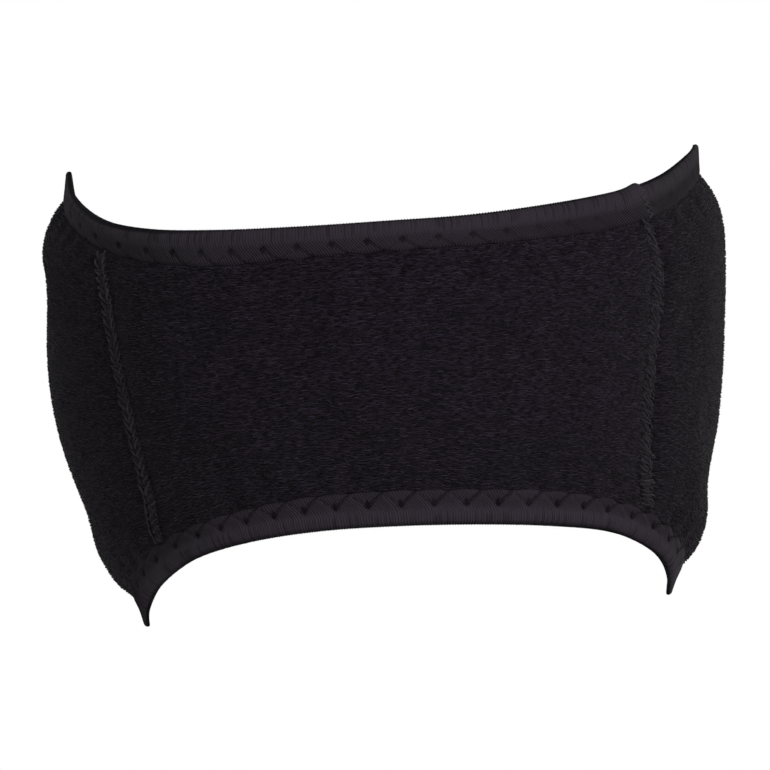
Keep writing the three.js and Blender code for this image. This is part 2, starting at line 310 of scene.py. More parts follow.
class Band:
    """The wall of the strap, worked out from the sizes in the sidebar. Angles are in degrees from
    the middle of the near side, positive towards +X."""

    def __init__(self, sizes):
        self.sizes = sizes
        self.half_side = sizes.side_height / 2
        self.edge_thickness = 2 * sizes.tape + 2 * GAP + sizes.pressed_edge
        middle = (sizes.knee_half_width + sizes.knee_half_depth) / 2
        self.mean_radius = middle + sizes.barrel + sizes.panel_thickness
        self.half_gap = self.degrees(GAP / 2)
        self.far_end = 180 - self.half_gap / 10

    def degrees(self, distance):
        return np.degrees(distance / self.mean_radius)

    def along(self, angle):
        return np.radians(angle) * self.mean_radius

    def edge(self, values, angle):
        angle = np.asarray(angle, float)
        near = np.where(angle < -90, -180 - angle, np.where(angle > 90, 180 - angle, angle))
        return smooth_table(EDGE_ANGLE, values, near)

    def drawn_in(self, angle):
        """How much further in the far half's edges are than the near half's. It starts just before
        the sides and ends 68 degrees past them."""
        past = np.abs(np.asarray(angle, float)) - 90
        return FAR_EDGE * ramp(past, -3, 8) * (1 - ramp(past, 40, 68))

    def top(self, angle):
        return self.half_side * self.edge(EDGE_TOP, angle) - self.drawn_in(angle)

    def bottom(self, angle):
        return self.half_side * self.edge(EDGE_BOTTOM, angle) + self.drawn_in(angle)

    def top_border(self, angle):
        return self.top(angle) - self.sizes.top_tape_width * self.edge(EDGE_TOP_TAPE, angle)

    def bottom_border(self, angle):
        return self.bottom(angle) + self.sizes.bottom_tape_width * self.edge(EDGE_BOTTOM_TAPE, angle)

    def seam(self, side, height):
        return smooth_table(SEAM_HEIGHT, SEAM_ANGLE[side], height / self.half_side)

    def wall(self, angle, out, height):
        """A point of the wall, by its angle, how far it is out from the skin side, and its height.
        Low on the band the wall curls towards the leg."""
        angle, out, height = np.broadcast_arrays(angle, out, height)
        share = height / self.half_side
        growth = self.sizes.knee_taper * height + self.sizes.barrel * (1 - share * share) + out
        growth = growth - EDGE_CURL * ramp(-share, *CURL_HEIGHT)
        lean = self.sizes.panel_thickness * smooth_table(LEAN_HEIGHT, LEAN, share)
        turn = np.radians(angle)
        x = (self.sizes.knee_half_width + growth) * np.sin(turn) + lean
        y = -(self.sizes.knee_half_depth + growth) * np.cos(turn)
        return np.stack([x, y, height], axis=-1)

    def seam_distance(self, angle, height):
        """How far along the band the nearer seam is."""
        left = np.abs(angle - self.seam("left", height))
        right = np.abs(angle - self.seam("right", height))
        return self.along(np.minimum(left, right))

    def tape_distance(self, angle, height):
        """How far the nearer tape's border is."""
        from_top = self.top_border(angle) - GAP - height
        from_bottom = height - self.bottom_border(angle) - GAP
        return np.minimum(from_top, from_bottom)

    def swell(self, angle, height):
        """From 0 beside a tape to 1 behind the shoulder."""
        inward = np.clip(self.tape_distance(angle, height) / self.sizes.shoulder, 0, 1)
        return 1 - (1 - inward) ** 2

    def thickness(self, angle, height):
        groove = self.sizes.groove_depth * bell(self.seam_distance(angle, height), self.sizes.groove_reach)
        full = self.sizes.panel_thickness - self.edge_thickness - groove
        return self.edge_thickness + full * self.swell(angle, height)

    def pinch(self, angle):
        """How much of its thickness the band's edge keeps: it is thin where it stands tallest."""
        return 1 - TIP_PINCH * ramp(90 - np.abs(np.abs(angle) - 90), 48, 90)

    def relief(self, angle, height):
        """What softens a pad: slow lumps, puckers at its stitching and creases at its seams."""
        along = self.along(angle)
        to_seam = self.seam_distance(angle, height)
        to_tape = self.tape_distance(angle, height)
        uneven = LUMP_DEPTH * lumps(along, height, LUMP_SIZE, LUMP_SEED) * ramp(to_seam, 0, 5 * MM)
        uneven = uneven - HOLLOW_DEPTH * bell(height / self.half_side - HOLLOW_HEIGHT, HOLLOW_REACH)
        at_tape = np.cos(2 * math.pi * along / TAPE_PUCKER_PITCH) * bell(to_tape - 2 * MM, 3 * MM)
        at_seam = np.cos(2 * math.pi * height / SEAM_PUCKER_PITCH) * bell(to_seam - 1.6 * MM, 1.8 * MM)
        past_right = self.along(angle - self.seam("right", height))
        groove = GROOVE_DEPTH * bell(past_right - GROOVE_PLACE, CREASE_REACH)
        crease = (CREASE_DEPTH * np.exp(-to_seam / CREASE_REACH) + groove) * ramp(to_tape, 0, 3 * MM)
        soft = self.swell(angle, height) * (uneven + SEAM_PUCKER * at_seam)
        return soft + TAPE_PUCKER * at_tape - crease

    def pad_angle(self, seams, share, height):
        """The angle at a share of the way across a pad."""
        start, end = seams
        first = -self.far_end if start is None else self.seam(start, height) + self.half_gap
        last = self.far_end if end is None else self.seam(end, height) - self.half_gap
        return first + (last - first) * share

    def pad_grid(self, seams, columns, rows, slack):
        """Points of a pad's face and back, with each point's angle and height. A pad is thinner than
        its sizes say by the slack."""
        share = np.linspace(0, 1, columns)
        top_angle = self.pad_angle(seams, share, self.half_side)
        bottom_angle = self.pad_angle(seams, share, -self.half_side)
        upper = self.top_border(top_angle)
        lower = self.bottom_border(bottom_angle)
        hidden = self.sizes.tape + GAP
        crowded = (1 + np.sin(np.linspace(-1, 1, rows) * math.pi / 2)) / 2
        wall = (lower + SWELL_START)[:, None] + (upper - lower - 2 * SWELL_START)[:, None] * crowded
        low_tongue = self.bottom(bottom_angle) + hidden, lower - TONGUE
        high_tongue = upper + TONGUE, self.top(top_angle) - hidden
        height = np.column_stack([*low_tongue, wall, *high_tongue])
        angle = self.pad_angle(seams, share[:, None], height)
        out = self.thickness(angle, height) + self.relief(angle, height) - slack * self.swell(angle, height)
        pinch = self.pinch(angle)
        # Where the edge is thin, the skin side comes out to meet it.
        near_edge = 1 - ramp(self.tape_distance(angle, height), 0, PINCH_REACH)
        back = self.edge_thickness * (1 - pinch) * near_edge
        for tongue in (slice(0, 2), slice(-2, None)):
            out[:, tongue] = self.edge_thickness - (hidden * pinch)[:, tongue]
            back[:, tongue] = out[:, tongue] - (self.sizes.pressed_edge * pinch)[:, tongue]
        return self.wall(angle, out, height), self.wall(angle, back, height), angle, height

    def tape_point(self, kind, angle, place, lift, scallop=0):
        """A point of an edge tape. place runs from 0 at its outer border to 1 where the fold starts,
        2 where it ends and 3 at the inner border, and lift is how far the point stands off it."""
        if kind == "bottom":
            edge, border, inward = self.bottom(angle), self.bottom_border(angle), 1
        else:
            edge, border, inward = self.top(angle), self.top_border(angle), -1
            if kind == "top":
                to_join = (self.sizes.join_angle - angle) / self.degrees(JOIN_LENGTH)
                edge = edge + JOIN_LIFT * np.clip(1 - to_join, 0, 1) ** 2
            # The join runs aslant, so both tapes' columns lean beside it.
            slant = JOIN_SLANT * (JOIN_UPRIGHT - np.clip(np.minimum(place, 3 - place), 0, 1))
            angle = angle + slant * bell(angle - self.sizes.join_angle, JOIN_REACH)
        pinch = self.pinch(angle)
        middle = self.edge_thickness / 2 * pinch
        lift = lift * pinch
        centre = edge + inward * middle
        reach = border + inward * scallop - centre
        turn = math.pi * np.clip(place - 1, 0, 1)
        straight = np.clip(1 - place, 0, 1) + np.clip(place - 2, 0, 1)
        out = self.edge_thickness - middle + (middle + lift) * np.cos(turn)
        height = centre + reach * straight - inward * (middle + lift) * np.sin(turn)
        return self.wall(angle, out, height)


class Value:
    """The output of a node. Arithmetic on it adds the Math nodes that work it out."""

    def __init__(self, nodes, output):
        self.nodes = nodes
        self.output = output

    def __add__(self, other):
        return self.nodes.math("ADD", self, other)

    def __sub__(self, other):
        return self.nodes.math("SUBTRACT", self, other)

    def __rsub__(self, other):
        return self.nodes.math("SUBTRACT", other, self)

    def __mul__(self, other):
        return self.nodes.math("MULTIPLY", self, other)

    def __truediv__(self, other):
        return self.nodes.math("DIVIDE", self, other)

    def __pow__(self, other):
        return self.nodes.math("POWER", self, other)

    def sine(self):
        return self.nodes.math("SINE", self)

    def sibling(self, name):
        """Another output of the same node."""
        return Value(self.nodes, pick(self.output.node.outputs, name))

    __radd__ = __add__
    __rmul__ = __mul__


def pick(sockets, key):
    """A socket by its number, or the first one in use that has the name."""
    if isinstance(key, int):
        return sockets[key]
    return next(socket for socket in sockets if socket.name == key and socket.enabled)


class Nodes:
    """A node tree, for a material or for Geometry Nodes."""

    def __init__(self, tree):
        self.tree = tree

    def node(self, kind, settings=None, inputs=None, output=0):
        made = self.tree.nodes.new(kind)
        for name, value in (settings or {}).items():
            setattr(made, name, value)
        for key, value in (inputs or {}).items():
            socket = pick(made.inputs, key)
            if isinstance(value, Value):
                self.tree.links.new(value.output, socket)
            elif isinstance(value, list):
                for each in value:
                    self.tree.links.new(each.output, socket)
            else:
                socket.default_value = value
        return Value(self, pick(made.outputs, output))

    def math(self, operation, *values):
        return self.node("ShaderNodeMath", {"operation": operation}, dict(enumerate(values)))

    def vector(self, x, y, z):
        return self.node("ShaderNodeCombineXYZ", inputs={"X": x, "Y": y, "Z": z})

    def smooth(self, value, low, high):
        """A smooth rise from 0 at low to 1 at high."""
        settings = {"interpolation_type": "SMOOTHSTEP"}
        return self.node("ShaderNodeMapRange", settings, {"Value": value, "From Min": low, "From Max": high})


# Painted sheen and shade for the strap's left and right sides, where grey stands in for white sheen on
# grazing faces and a darker colour for shade: the way there along X, how much of its tint a colour keeps,
# and where along X the change starts and ends.
SIDE_SHEEN_AND_SHADE = ((-1, 0.6, 0.030, 0.062), (1, 0.35, 0.044, 0.065))


def scaled(shade, factor):
    """A colour with its parts multiplied, by one factor or by one for each."""
    return np.multiply(shade, factor).tolist()


class Finish(Nodes):
    """A material and the nodes that make its surface."""

    def __init__(self, name):
        self.material = bpy.data.materials.new(name)
        self.material.use_nodes = True
        super().__init__(self.material.node_tree)
        self.shader = self.tree.nodes["Principled BSDF"]

    def attribute(self, name, output="Fac"):
        return self.node("ShaderNodeAttribute", {"attribute_name": name}, output=output)

    def split(self, vector):
        x = self.node("ShaderNodeSeparateXYZ", inputs={"Vector": vector})
        return x, x.sibling("Y"), x.sibling("Z")

    def sheen_and_shade_at_sides(self, base, *brightness):
        """The colour with painted sheen and shade towards the strap's two sides: it loses tint, as white
        sheen on grazing faces would grey it, and changes in brightness, darker as painted shade.
        """
        x = self.split(self.object_place())[0]
        for (side, tint, start, end), bright in zip(SIDE_SHEEN_AND_SHADE, brightness):
            inputs = {"Saturation": tint, "Value": bright, "Fac": 1.0, "Color": base}
            grey = self.node("ShaderNodeHueSaturation", inputs=inputs)
            base = self.mix(self.smooth(x * side, start, end), base, grey)
        return base

    def object_place(self):
        return self.node("ShaderNodeTexCoord", output="Object")

    def noise(self, place, scale, detail=2, roughness=0.5):
        inputs = {"Vector": place, "Scale": scale, "Detail": detail, "Roughness": roughness}
        return self.node("ShaderNodeTexNoise", inputs=inputs)

    def mix(self, factor, first, second):
        """A colour between two others."""
        colours = [value if isinstance(value, Value) else (*value, 1) for value in (first, second)]
        inputs = {"Factor": factor, "A": colours[0], "B": colours[1]}
        return self.node("ShaderNodeMix", {"data_type": "RGBA"}, inputs, "Result")

    def finish(self, base, roughness, specular=0.5, sheen=0, bump=None, sheen_roughness=0.4):
        """Connects the shader. bump is its height, how deep that is and its strength."""
        self.tree.links.new(base.output, self.shader.inputs["Base Color"])
        if bump:
            inputs = dict(zip(("Height", "Distance", "Strength"), bump))
            normal = self.node("ShaderNodeBump", inputs=inputs)
            self.tree.links.new(normal.output, self.shader.inputs["Normal"])
        uniform = {
            "Roughness": roughness,
            "Specular IOR Level": specular,
            "Sheen Weight": sheen,
            "Sheen Roughness": sheen_roughness,
        }
        for name, value in uniform.items():
            self.shader.inputs[name].default_value = value
        return self.material


def plush_thread_finish(look):
    """Pile threads: each loop has its own shade, over slow changes of tint across the cloth."""
    finish = Finish("plush_thread")
    shade = finish.attribute("shade")
    place = finish.object_place()
    patch = finish.smooth(finish.noise(place, 60, 2), 0.35, 0.65)
    light = finish.mix(patch, look.light, scaled(look.light, (0.9, 0.98, 1.08)))
    # Towards the strap's sides the loops get painted sheen, a loss of tint, and painted shade, a darkening
    # that is strongest on the left.
    base = finish.sheen_and_shade_at_sides(finish.mix(shade ** 2.1, look.dark, light), 0.62, 0.77)
    return finish.finish(base, 0.85, specular=0.04, sheen=0.02)


def plush_ground_finish(look):
    """The cloth under the pile: dark, with the fine wavy rows of its knitting."""
    finish = Finish("plush_ground")
    along, height, _ = finish.split(finish.attribute("cloth", "Vector"))
    rows = finish.noise(finish.vector(along / (1.3 * MM), height / (0.32 * MM), 0), 1, 2, 0.6)
    row = finish.smooth(rows, 0.38, 0.62)
    base = finish.mix(row, scaled(look.ground, 0.4), scaled(look.ground, 1.5))
    return finish.finish(base, 0.9, specular=0.03, sheen=0.012, bump=(rows, 0.25 * MM, 0.9))


def lining_finish(look):
    """The skin side: a smooth knit with fine upright ribs."""
    finish = Finish("lining_knit")
    along, height, _ = finish.split(finish.attribute("cloth", "Vector"))
    wobble = finish.noise(finish.object_place(), 240, 2) * 1.6
    wales = (along * (2 * math.pi / (0.9 * MM)) + wobble).sine()
    courses = (height * (2 * math.pi / (0.7 * MM)) + wales * 1.1).sine()
    relief = wales * 0.6 + courses * 0.4
    wear = finish.smooth(finish.noise(finish.object_place(), 45, 3), 0.3, 0.75)
    base = finish.mix(wear, scaled(look.lining, 0.8), scaled(look.lining, 1.3))
    bump = relief, 0.1 * MM, 0.8
    return finish.finish(base, 0.85, specular=0.05, sheen=0.015, bump=bump, sheen_roughness=0.5)


# Where the zigzag turns away from the pad, as a share of the tape's flat part. The flat part's width
# and, for its finish alone, the zigzag's pitch are in millimetres.
STITCH_LINE = 0.58
FLAT_WIDTH = 4.6
MARK_PITCH = 6.4


def zigzag_depth_and_shade(finish, phase, across):
    """How deep in a stitch a place is, for the bump and for painted shade in its recesses: 1 in a dimple,
    less along the arms that lead to it.
    """
    signed = phase - finish.math("ROUND", phase)
    away = finish.math("ABSOLUTE", signed)
    line = (0.5 - away) * (2 * STITCH_LINE)
    off_arm = finish.math("ABSOLUTE", across - line) * (FLAT_WIDTH * 0.76)
    arm = (1 - finish.smooth(off_arm, 0.12, 0.45)) * (1 - finish.smooth(across, 0.6, 0.68))
    side = finish.smooth(signed, -0.03, 0.03) * 0.75 + 0.1
    x = (away * MARK_PITCH) * 0.9
    y = (across - STITCH_LINE + 0.04) * (FLAT_WIDTH * 1.3)
    # The dimple is a triangle that stands on the line of turning points.
    below = finish.math("MAXIMUM", y, y * -0.55)
    dimple = 1 - finish.smooth(x + below, 0.45, 1.0)
    strength = finish.smooth(finish.noise(finish.vector(phase * 0.45, 0, 5), 1, 1), 0.3, 0.6) * 0.4 + 0.6
    return finish.math("MAXIMUM", arm * side * 0.8, dimple * 0.9) * strength * finish.attribute("pull")


def tape_finish(look, name, brightness):
    """Elastic tape: dark beside the pad, lighter on the roll, with painted shade darkest on the outermost
    fold and also in the zigzag's dimples and arms and in the flutes by the fold. It is as bright as stated
    in some stretches and full bright in others."""
    finish = Finish(name)
    phase, across, fold_shade = finish.split(finish.attribute("tape", "Vector"))
    full = finish.mix(finish.smooth(across, 0.35, 0.85), look.inner, look.outer)
    # In plain stretches the ground is nearly as bright as the ribs, so they hardly show there.
    stretch = finish.smooth(finish.noise(finish.vector(phase * 0.6, across * 0.8, 3), 1, 1), 0.4, 0.68)
    x = finish.math("ABSOLUTE", finish.split(finish.object_place())[0])
    ribbed = finish.math("MAXIMUM", finish.smooth(x, 0.022, 0.05), (1 - finish.attribute("pull")) * 1.2)
    flat = finish.smooth(across, 0.5, 0.8) * 0.7
    plain = finish.math("MAXIMUM", (stretch * 0.5 + 0.3) * (1 - ribbed), flat)
    shade = plain * (1 - brightness) + brightness
    half = finish.mix(shade, (0, 0, 0), full)
    # The threads are rubbed paler in places, and near the fold the tape gathers into small flutes whose
    # hollows get painted shade.
    grain = finish.noise(finish.vector(phase * 30, across * 12, fold_shade), 1, 2, 0.6)
    rubbed = finish.smooth(grain, 0.3, 0.75) * (shade * 0.3)
    worn = finish.mix(rubbed, half, scaled(look.outer, 1.4))
    gathers = finish.noise(finish.vector(phase * 9, across * 1.2, 0), 1, 1)
    near_fold = finish.smooth(across, 0.45, 1.1)
    flute_depth_and_shade = finish.smooth(gathers, 0.5, 0.66) * (near_fold * 0.45)
    stitch_depth_and_shade = zigzag_depth_and_shade(finish, phase, across)
    # Painted shade: the flutes' hollows and the zigzag's dimples and arms are drawn towards the dark fold
    # colour.
    shaded = finish.mix(finish.math("MAXIMUM", flute_depth_and_shade, stitch_depth_and_shade), worn, look.fold_shade)
    # Painted shade: over the upper tape's right stretch, where the zigzag pulls little and the tape faces
    # the key light, the colour is drawn towards the dark fold colour, as it is on the outermost fold.
    right_stretch_shade = (1 - finish.attribute("pull")) * 0.15
    fold_and_stretch_shade = finish.math("MAXIMUM", fold_shade, right_stretch_shade)
    # Towards the strap's sides the tape gets painted sheen, a loss of tint, and painted shade on the left.
    base = finish.sheen_and_shade_at_sides(finish.mix(fold_and_stretch_shade, shaded, look.fold_shade), 0.84, 1.0)
    bump = grain * 0.3 - stitch_depth_and_shade * 3 - flute_depth_and_shade, 0.06 * MM, 0.8
    return finish.finish(base, 0.7, specular=0.004, sheen=0.01, bump=bump)


def thread_finish(name, shade):
    """Sewing thread with its fine twist."""
    finish = Finish(name)
    grain = finish.noise(finish.object_place(), 2600, 2, 0.6)
    base = finish.mix(finish.smooth(grain, 0.3, 0.7), scaled(shade, 0.6), scaled(shade, 1.5))
    return finish.finish(base, 0.75, specular=0.05, sheen=0.015, bump=(grain, 0.05 * MM, 0.6))


def tab_finish(cloth):
    """The hook tab: a short brushed weave."""
    finish = Finish("tab_weave")
    place = finish.object_place()
    x, _, z = finish.split(place)
    warp, weft = ((way * (2 * math.pi / (0.8 * MM))).sine() for way in (x, z))
    relief = warp * weft * 0.35 + finish.noise(place, 1500, 3, 0.6)
    wear = finish.smooth(finish.noise(place, 70, 3), 0.3, 0.75)
    base = finish.mix(wear, scaled(cloth, 0.75), scaled(cloth, 1.35))
    return finish.finish(base, 0.85, specular=0.05, sheen=0.02, bump=(relief, 0.3 * MM, 1))


def new_tree(name, sockets):
    """A Geometry Nodes tree with named inputs; returns its nodes and the inputs as values."""
    tree = bpy.data.node_groups.new(name, "GeometryNodeTree")
    tree.interface.new_socket("Geometry", in_out="OUTPUT", socket_type="NodeSocketGeometry")
    for label, kind in {"Geometry": "Geometry", **sockets, "Material": "Material"}.items():
        tree.interface.new_socket(label, in_out="INPUT", socket_type="NodeSocket" + kind)
    nodes = Nodes(tree)
    start = tree.nodes.new("NodeGroupInput")
    given = {output.name: Value(nodes, output) for output in start.outputs if output.name}
    return nodes, given


def close_tree(nodes, given, geometry):
    """Ends a tree with plain smooth geometry in its material."""
    real = nodes.node("GeometryNodeRealizeInstances", inputs={"Geometry": geometry})
    smooth = nodes.node("GeometryNodeSetShadeSmooth", inputs={"Geometry": real})
    inputs = {"Geometry": smooth, "Material": given["Material"]}
    dressed = nodes.node("GeometryNodeSetMaterial", inputs=inputs)
    end = nodes.tree.nodes.new("NodeGroupOutput")
    nodes.tree.links.new(dressed.output, end.inputs["Geometry"])
    return nodes.tree


def swept(nodes, curve, radius, sides):
    """A curve with a round section."""
    ring = nodes.node("GeometryNodeCurvePrimitiveCircle", inputs={"Resolution": sides, "Radius": radius})
    inputs = {"Curve": curve, "Profile Curve": ring, "Fill Caps": True}
    return nodes.node("GeometryNodeCurveToMesh", inputs=inputs)


def thread_tree():
    """Sweeps a round thread along every line of edges in a mesh."""
    nodes, given = new_tree("thread_along_lines", {"Radius": "Float", "Sides": "Int"})
    curve = nodes.node("GeometryNodeMeshToCurve", inputs={"Mesh": given["Geometry"]})
    return close_tree(nodes, given, swept(nodes, curve, given["Radius"], given["Sides"]))


def random_value(nodes, kind, low, high, seed):
    inputs = {"Min": low, "Max": high, "Seed": seed}
    return nodes.node("FunctionNodeRandomValue", {"data_type": kind}, inputs, "Value")


def turned(nodes, toward, along, tip):
    """A rotation with Z along one vector and X near another, turned further by tip."""
    align = "FunctionNodeAlignRotationToVector"
    upright = nodes.node(align, {"axis": "Z"}, {"Vector": toward})
    laid = nodes.node(align, {"axis": "X", "pivot_axis": "Z"}, {"Rotation": upright, "Vector": along})
    extra = nodes.node("FunctionNodeEulerToRotation", inputs={"Euler": tip})
    inputs = {"Rotation": laid, "Rotate By": extra}
    return nodes.node("FunctionNodeRotateRotation", {"rotation_space": "LOCAL"}, inputs)


def named(nodes, name, kind):
    """An attribute of the mesh that a tree runs on."""
    inputs = {"Name": name}
    return nodes.node("GeometryNodeInputNamedAttribute", {"data_type": kind}, inputs, "Attribute")


def bent_thread(nodes, given, points, sides, bend):
    """A thread of the given length along X. bend takes how far along it a place is, from 0 to 1, and
    returns how far the thread is to the side there and how high."""
    ends = {end: nodes.vector(given["Length"] * x, 0, 0) for end, x in (("Start", -0.5), ("End", 0.5))}
    line = nodes.node("GeometryNodeCurvePrimitiveLine", inputs=ends)
    fine = nodes.node("GeometryNodeResampleCurve", inputs={"Curve": line, "Count": points})
    offset = nodes.vector(0, *bend(nodes.node("GeometryNodeSplineParameter", output="Factor")))
    placed = nodes.node("GeometryNodeSetPosition", inputs={"Geometry": fine, "Offset": offset})
    return swept(nodes, placed, given["Radius"], sides)


def wavy_loop(nodes, given, phase):
    """One loop of thread that rises in an arch and winds from side to side."""

    def bend(share):
        sway = (share * (2 * math.pi) + phase).sine() * given["Wave"]
        return sway, (share * math.pi).sine() * given["Height"] - given["Radius"] * 0.5

    return bent_thread(nodes, given, 3, 3, bend)


# The most loops on a square metre, before their least distance thins them, and where each of the
# four shapes of loop starts in its wave.
MOST_LOOPS = 4e6
LOOP_PHASES = (0.4, 1.9, 3.6, 5.2)


def pile_tree():
    """Scatters thread loops over the napped part of a pad, laid along the band."""
    sizes = ("Spacing", "Length", "Height", "Wave", "Radius")
    nodes, given = new_tree("pile_loops", {**dict.fromkeys(sizes, "Float"), "Seed": "Int"})
    inputs = {
        "Mesh": given["Geometry"],
        "Distance Min": given["Spacing"],
        "Density Max": MOST_LOOPS,
        "Density Factor": named(nodes, "nap", "FLOAT"),
        "Seed": given["Seed"],
    }
    settings = {"distribute_method": "POISSON"}
    points = nodes.node("GeometryNodeDistributePointsOnFaces", settings, inputs, "Points")
    loops = [
        nodes.node("GeometryNodeGeometryToInstance", inputs={"Geometry": wavy_loop(nodes, given, phase)})
        for phase in LOOP_PHASES
    ]
    shapes = nodes.node("GeometryNodeJoinGeometry", inputs={"Geometry": loops})
    tip = random_value(nodes, "FLOAT_VECTOR", (-0.3, -0.1, -0.13), (0.3, 0.1, 0.13), 21)
    scale = random_value(nodes, "FLOAT_VECTOR", (0.5, 0.75, 0.6), (1.35, 1.25, 1.5), 22)
    inputs = {
        "Points": points,
        "Instance": shapes,
        "Pick Instance": True,
        "Instance Index": random_value(nodes, "INT", 0, 3, 23),
        "Rotation": turned(nodes, points.sibling("Normal"), named(nodes, "along", "FLOAT_VECTOR"), tip),
        "Scale": scale,
    }
    placed = nodes.node("GeometryNodeInstanceOnPoints", inputs=inputs)
    settings = {"data_type": "FLOAT", "domain": "INSTANCE"}
    inputs = {"Geometry": placed, "Name": "shade", "Value": random_value(nodes, "FLOAT", 0.0, 1.0, 24)}
    shaded = nodes.node("GeometryNodeStoreNamedAttribute", settings, inputs)
    return close_tree(nodes, given, shaded)


# How far the loosest strand of a seam is tipped about each of its axes, in radians.
STRAND_TIP = (0.25, 0.1, 0.28)


def strand_tree():
    """Lays S-shaped strands along a line, each crossing the seam, in a loose overlapping row."""
    sizes = ("Pitch", "Length", "Sway", "Radius", "Lift", "Loose")
    nodes, given = new_tree("seam_strands", dict.fromkeys(sizes, "Float"))
    curve = nodes.node("GeometryNodeMeshToCurve", inputs={"Mesh": given["Geometry"]})
    inputs = {"Curve": curve, "Length": given["Pitch"]}
    points = nodes.node("GeometryNodeCurveToPoints", {"mode": "LENGTH"}, inputs, "Points")

    def bend(share):
        sway = ((share - 0.5) * math.pi).sine() * given["Sway"]
        return sway, (share * math.pi).sine() * given["Lift"]

    loose = given["Loose"]
    low, high = (nodes.vector(*(loose * (tip * way) for tip in STRAND_TIP)) for way in (-1, 1))
    tip = random_value(nodes, "FLOAT_VECTOR", low, high, 41)
    least = nodes.vector(1 - loose * 0.5, 1 - loose * 0.5, 1 - loose * 0.6)
    most = nodes.vector(loose * 0.25 + 1, loose * 0.4 + 1, loose * 0.5 + 1)
    outward = named(nodes, "out", "FLOAT_VECTOR")
    inputs = {
        "Points": points,
        "Instance": bent_thread(nodes, given, 8, 4, bend),
        "Rotation": turned(nodes, outward, points.sibling("Tangent"), tip),
        "Scale": random_value(nodes, "FLOAT_VECTOR", least, most, 42),
    }
    return close_tree(nodes, given, nodes.node("GeometryNodeInstanceOnPoints", inputs=inputs))


def link_up(name, data):
    made = bpy.data.objects.new(name, data)
    bpy.context.scene.collection.objects.link(made)
    return made


def through_nodes(host, tree, values, name):
    """Runs a tree on a mesh object and keeps the result as a plain mesh object of its own."""
    modifier = host.modifiers.new(tree.name, "NODES")
    modifier.node_group = tree
    for item in tree.interface.items_tree:
        if item.item_type == "SOCKET" and item.in_out == "INPUT" and item.name in values:
            modifier[item.identifier] = values[item.name]
    bpy.context.view_layer.update()
    graph = bpy.context.evaluated_depsgraph_get()
    settled = host.evaluated_get(graph)
    mesh = bpy.data.meshes.new_from_object(settled, preserve_all_data_layers=True, depsgraph=graph)
    host.modifiers.remove(modifier)
    bpy.data.objects.remove(host)
    mesh.name = name
    return link_up(name, mesh)


def set_attribute(mesh, name, values):
    """Stores a number or a vector for each vertex."""
    values = np.asarray(values, np.float32)
    kind, field = ("FLOAT", "value") if values.ndim == 1 else ("FLOAT_VECTOR", "vector")
    mesh.attributes.new(name, kind, "POINT").data.foreach_set(field, values.ravel())


def closed_mesh(name, face, back):
    """A closed mesh from two grids of points, columns along the band and rows upwards."""
    columns, rows = face.shape[:2]
    front, rear = np.arange(2 * columns * rows).reshape(2, columns, rows)

    def quads(a, b, c, d):
        return np.stack([a, b, c, d], axis=-1).reshape(-1, 4)

    faces = np.concatenate([
        quads(front[:-1, :-1], front[1:, :-1], front[1:, 1:], front[:-1, 1:]),
        quads(rear[:-1, :-1], rear[:-1, 1:], rear[1:, 1:], rear[1:, :-1]),
        quads(front[:-1, 0], rear[:-1, 0], rear[1:, 0], front[1:, 0]),
        quads(front[:-1, -1], front[1:, -1], rear[1:, -1], rear[:-1, -1]),
        quads(front[0, :-1], front[0, 1:], rear[0, 1:], rear[0, :-1]),
        quads(front[-1, :-1], rear[-1, :-1], rear[-1, 1:], front[-1, 1:]),
    ])
    mesh = bpy.data.meshes.new(name)
    points = np.concatenate([face.reshape(-1, 3), back.reshape(-1, 3)])
    mesh.from_pydata(points.tolist(), [], faces.tolist())
    mesh.shade_smooth()
    return mesh


def line_mesh(name, lines):
    """A mesh of edges only: one open line through each list of points."""
    edges = []
    start = 0
    for line in lines:
        edges += [(start + step, start + step + 1) for step in range(len(line) - 1)]
        start += len(line)
    mesh = bpy.data.meshes.new(name)
    mesh.from_pydata(np.concatenate(lines).tolist(), edges, [])
    return mesh


def cubic_weights(places, count):
    """Rows of weights that read evenly spaced samples smoothly at places from 0 to 1."""
    here = np.clip(places, 0, 1) * (count - 1)
    first = np.clip(here.astype(int), 0, count - 2)
    t = here - first
    parts = (
        -t / 2 + t**2 - t**3 / 2,
        1 - 5 * t**2 / 2 + 3 * t**3 / 2,
        t / 2 + 2 * t**2 - 3 * t**3 / 2,
        -(t**2) / 2 + t**3 / 2,
    )
    weights = np.zeros((len(here), count))
    for step, part in zip((-1, 0, 1, 2), parts):
        np.add.at(weights, (np.arange(len(here)), np.clip(first + step, 0, count - 1)), part)
    return weights


# How much thinner a pad is before its padding presses it out, and how far a point may then move.
SLACK = 0.7 * MM
LARGEST_MOVE = 0.55 * MM

# The simulated cover: the distance between its columns, its rows, the padding's pressure, how stiff
# it is against stretching and bending, how much it grows, and the number of frames.
CLOTH_STEP = 3.5 * MM
CLOTH_ROWS = 18
CLOTH_PRESSURE = 4
CLOTH_STIFFNESS = 12
CLOTH_BENDING = 0.4
CLOTH_GROWTH = 0.015
CLOTH_FRAMES = 20

# How far the slow part of the cover's moves reaches along the band and upwards, in grid points.
SLOW_REACH = (5, 4)


def slow_part(moved):
    """The slow part of a grid of moves: for each point, the mean over a wide patch around it."""
    for axis, reach in enumerate(SLOW_REACH):
        places = np.arange(moved.shape[axis])
        near = np.exp(-(((places[:, None] - places[None, :]) / reach) ** 2))
        near /= near.sum(axis=1, keepdims=True)
        moved = np.moveaxis(np.tensordot(near, moved, (1, axis)), 0, axis)
    return moved


